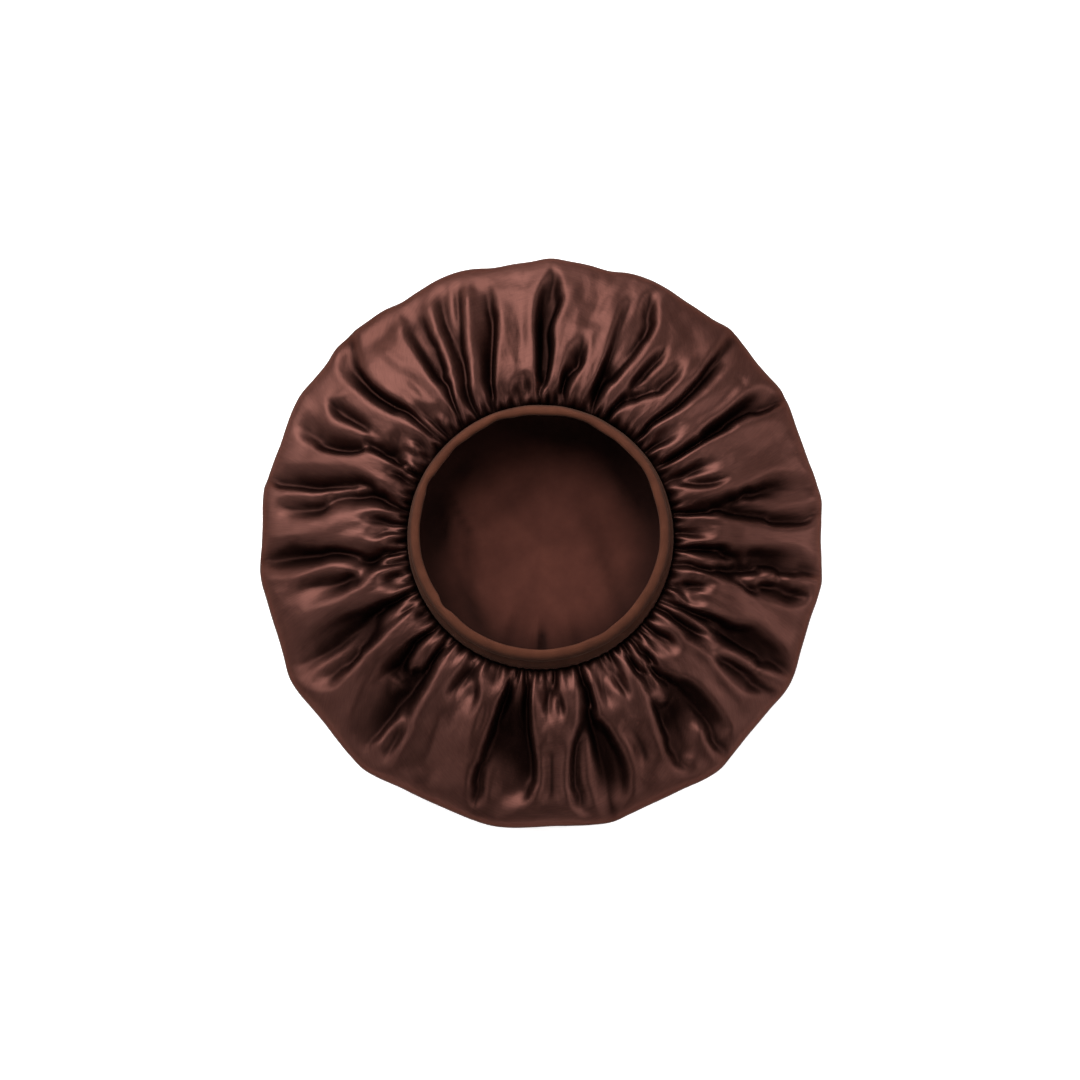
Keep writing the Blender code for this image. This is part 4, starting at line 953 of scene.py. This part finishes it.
def satin_inside():
    mat, nodes, links, shader = new_material("satin_wrong_side")
    uv = nodes.new("ShaderNodeUVMap")
    uv.uv_map = "cut"
    coarse = node(nodes, "ShaderNodeTexNoise", Scale=16.0, Detail=4.0, Roughness=0.6)
    links.new(uv.outputs["UV"], coarse.inputs["Vector"])
    ramp = nodes.new("ShaderNodeValToRGB")
    ramp.color_ramp.elements[0].position = 0.28
    ramp.color_ramp.elements[0].color = (0.0441, 0.0131, 0.0091, 1)
    ramp.color_ramp.elements[1].position = 0.75
    ramp.color_ramp.elements[1].color = (0.0718, 0.0224, 0.0156, 1)
    links.new(coarse.outputs["Fac"], ramp.inputs["Fac"])
    # painted shade: the bottom is darkened towards the band and beside its creases
    deep = nodes.new("ShaderNodeAttribute")
    deep.attribute_name = "hollow"
    shade = nodes.new("ShaderNodeMapRange")
    shade.inputs["To Min"].default_value = 1.0
    shade.inputs["To Max"].default_value = 0.1
    links.new(deep.outputs["Fac"], shade.inputs["Value"])
    worn = node(nodes, "ShaderNodeTexNoise", Scale=55.0, Detail=4.0, Roughness=0.65)
    links.new(uv.outputs["UV"], worn.inputs["Vector"])
    mottle = nodes.new("ShaderNodeMapRange")
    mottle.inputs["From Min"].default_value = 0.3
    mottle.inputs["From Max"].default_value = 0.7
    mottle.inputs["To Min"].default_value = 0.86
    mottle.inputs["To Max"].default_value = 1.14
    links.new(worn.outputs["Fac"], mottle.inputs["Value"])
    both = nodes.new("ShaderNodeMath")
    both.operation = "MULTIPLY"
    links.new(shade.outputs["Result"], both.inputs[0])
    links.new(mottle.outputs["Result"], both.inputs[1])
    darker = nodes.new("ShaderNodeVectorMath")
    darker.operation = "SCALE"
    links.new(ramp.outputs["Color"], darker.inputs[0])
    links.new(both.outputs[0], darker.inputs["Scale"])
    links.new(darker.outputs["Vector"], shader.inputs["Base Color"])
    warp = node(nodes, "ShaderNodeTexWave", Scale=520.0, Distortion=1.0, Detail=2.0)
    warp.bands_direction = "X"
    weft = node(nodes, "ShaderNodeTexWave", Scale=430.0, Distortion=1.0, Detail=2.0)
    weft.bands_direction = "Y"
    links.new(uv.outputs["UV"], warp.inputs["Vector"])
    links.new(uv.outputs["UV"], weft.inputs["Vector"])
    mix = nodes.new("ShaderNodeMath")
    mix.operation = "ADD"
    links.new(warp.outputs["Fac"], mix.inputs[0])
    links.new(weft.outputs["Fac"], mix.inputs[1])
    bump = node(nodes, "ShaderNodeBump", Strength=0.15, Distance=0.0002)
    links.new(mix.outputs[0], bump.inputs["Height"])
    links.new(bump.outputs["Normal"], shader.inputs["Normal"])
    shader.inputs["Roughness"].default_value = 0.8
    shader.inputs["Specular IOR Level"].default_value = 0.05
    return mat


def knit():
    mat, nodes, links, shader = new_material("knit_casing")
    uv = nodes.new("ShaderNodeUVMap")
    uv.uv_map = "knit"
    scale = nodes.new("ShaderNodeMapping")
    scale.inputs["Scale"].default_value = (500.0, 36.0, 1.0)
    links.new(uv.outputs["UV"], scale.inputs["Vector"])
    coarse = node(nodes, "ShaderNodeTexNoise", Scale=0.08, Detail=3.0)
    links.new(scale.outputs["Vector"], coarse.inputs["Vector"])
    ramp = nodes.new("ShaderNodeValToRGB")
    ramp.color_ramp.elements[0].position = 0.3
    ramp.color_ramp.elements[0].color = (0.048, 0.0138, 0.0066, 1)
    ramp.color_ramp.elements[1].position = 0.75
    ramp.color_ramp.elements[1].color = (0.070, 0.0212, 0.0105, 1)
    links.new(coarse.outputs["Fac"], ramp.inputs["Fac"])
    # shade held in the colour: below the rolled rim the face is darkened to the tone it has in the picture
    height = nodes.new("ShaderNodeAttribute")
    height.attribute_name = "rise"
    tone = nodes.new("ShaderNodeMapRange")
    tone.interpolation_type = "SMOOTHSTEP"
    tone.inputs["From Min"].default_value = 0.82
    tone.inputs["From Max"].default_value = 0.97
    tone.inputs["To Min"].default_value = 0.45
    tone.inputs["To Max"].default_value = 0.84
    links.new(height.outputs["Fac"], tone.inputs["Value"])
    toned = nodes.new("ShaderNodeVectorMath")
    toned.operation = "SCALE"
    links.new(ramp.outputs["Color"], toned.inputs[0])
    links.new(tone.outputs["Result"], toned.inputs["Scale"])
    links.new(toned.outputs["Vector"], shader.inputs["Base Color"])
    rib = node(nodes, "ShaderNodeTexWave", Scale=0.5, Distortion=0.4, Detail=1.0)
    rib.bands_direction = "X"
    links.new(scale.outputs["Vector"], rib.inputs["Vector"])
    grain = node(nodes, "ShaderNodeTexNoise", Scale=1.0, Detail=3.0)
    links.new(scale.outputs["Vector"], grain.inputs["Vector"])
    mix = nodes.new("ShaderNodeMath")
    mix.operation = "ADD"
    links.new(rib.outputs["Fac"], mix.inputs[0])
    links.new(grain.outputs["Fac"], mix.inputs[1])
    bump = node(nodes, "ShaderNodeBump", Strength=0.12, Distance=0.0002)
    links.new(mix.outputs[0], bump.inputs["Height"])
    links.new(bump.outputs["Normal"], shader.inputs["Normal"])
    shader.inputs["Roughness"].default_value = 0.85
    shader.inputs["Specular IOR Level"].default_value = 0.1
    shader.inputs["Sheen Weight"].default_value = 0.04
    shader.inputs["Sheen Roughness"].default_value = 0.5
    shader.inputs["Sheen Tint"].default_value = (0.9, 0.6, 0.45, 1)
    return mat


# ------------------------------------------------------------------ stage


def aim(obj, position, target, up=Vector((0, 1, 0))):
    back = (Vector(position) - Vector(target)).normalized()
    right = up.cross(back).normalized()
    top = back.cross(right)
    turned = Matrix((right, top, back)).transposed().to_4x4()
    turned.translation = Vector(position)
    obj.matrix_world = turned


def set_camera():
    data = bpy.data.cameras.new("camera")
    data.sensor_width = 36.0
    data.lens = 36.0 * CAM_DISTANCE / (PICTURE * PX)
    cam = bpy.data.objects.new("camera", data)
    bpy.context.scene.collection.objects.link(cam)
    target = Vector((-0.5 * PX, 2.5 * PX, OUTLINE_HEIGHT))
    way = Vector((math.tan(CAM_TILT_X), -math.tan(CAM_TILT_Y), 1.0)).normalized()
    aim(cam, target + way * CAM_DISTANCE, target)
    bpy.context.scene.camera = cam


def area_light(name, position, target, size, power, color=(1, 1, 1)):
    data = bpy.data.lights.new(name, "AREA")
    data.shape = "DISK"
    data.size = size
    data.energy = power
    data.color = color
    light = bpy.data.objects.new(name, data)
    bpy.context.scene.collection.objects.link(light)
    aim(light, position, target, up=Vector((0.3, 1, 0.2)))


def set_stage():
    mesh = bpy.data.meshes.new("floor")
    h = 4.0
    mesh.from_pydata([(-h, -h, -0.0004), (h, -h, -0.0004), (h, h, -0.0004), (-h, h, -0.0004)], [], [(0, 1, 2, 3)])
    floor = bpy.data.objects.new("floor", mesh)
    bpy.context.scene.collection.objects.link(floor)
    mat, nodes, links, shader = new_material("pale_floor")
    shader.inputs["Base Color"].default_value = (0.93, 0.93, 0.93, 1)
    shader.inputs["Roughness"].default_value = 0.9
    shader.inputs["Emission Color"].default_value = (1.0, 1.0, 1.0, 1)
    shader.inputs["Emission Strength"].default_value = 0.55
    mesh.materials.append(mat)
    turns = 72
    ring = [(3.9 * math.cos(2 * math.pi * k / turns), 3.9 * math.sin(2 * math.pi * k / turns)) for k in range(turns)]
    mesh = bpy.data.meshes.new("backdrop")
    mesh.from_pydata(
        [(x, y, z) for z in (-0.0004, 2.6) for x, y in ring], [],
        [(turns + k, turns + (k + 1) % turns, (k + 1) % turns, k) for k in range(turns)],
    )
    backdrop = bpy.data.objects.new("backdrop", mesh)
    bpy.context.scene.collection.objects.link(backdrop)
    mat, nodes, links, shader = new_material("pale_backdrop")
    shader.inputs["Base Color"].default_value = (0.80, 0.80, 0.80, 1)
    shader.inputs["Roughness"].default_value = 0.9
    shader.inputs["Emission Color"].default_value = (1.0, 1.0, 1.0, 1)
    shader.inputs["Emission Strength"].default_value = 0.08
    mesh.materials.append(mat)
    world = bpy.data.worlds.new("world")
    bpy.context.scene.world = world
    world.use_nodes = True
    world.node_tree.nodes["Background"].inputs["Color"].default_value = (1, 1, 1, 1)
    world.node_tree.nodes["Background"].inputs["Strength"].default_value = 0.01
    area_light("key", (-0.36, 1.05, 1.2), (0, 0, 0.03), 1.6, 56.0)
    area_light("left", (-1.35, 0.35, 1.0), (0, 0, 0.03), 1.0, 12.5)
    area_light("front left", (-0.95, -0.85, 1.25), (0, 0, 0.03), 0.9, 5.0)
    area_light("front right", (0.95, -0.85, 1.25), (0, 0, 0.03), 0.9, 6.5)
    area_light("right", (1.35, 0.15, 1.0), (0, 0, 0.03), 1.0, 12.0)


# ------------------------------------------------------------------ make it

bpy.context.scene.view_settings.view_transform = "Standard"
set_camera()
set_stage()

cloth, lining, hollow = make_cloth()
crown = crown_object(cloth, lining, hollow)
crown.data.materials.append(satin_outside())
crown.data.materials.append(satin_inside())
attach(crown, "root")
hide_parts("satin_crown")

band = band_object()
band.data.materials.append(knit())
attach(band, "root")
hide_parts("elastic_band")
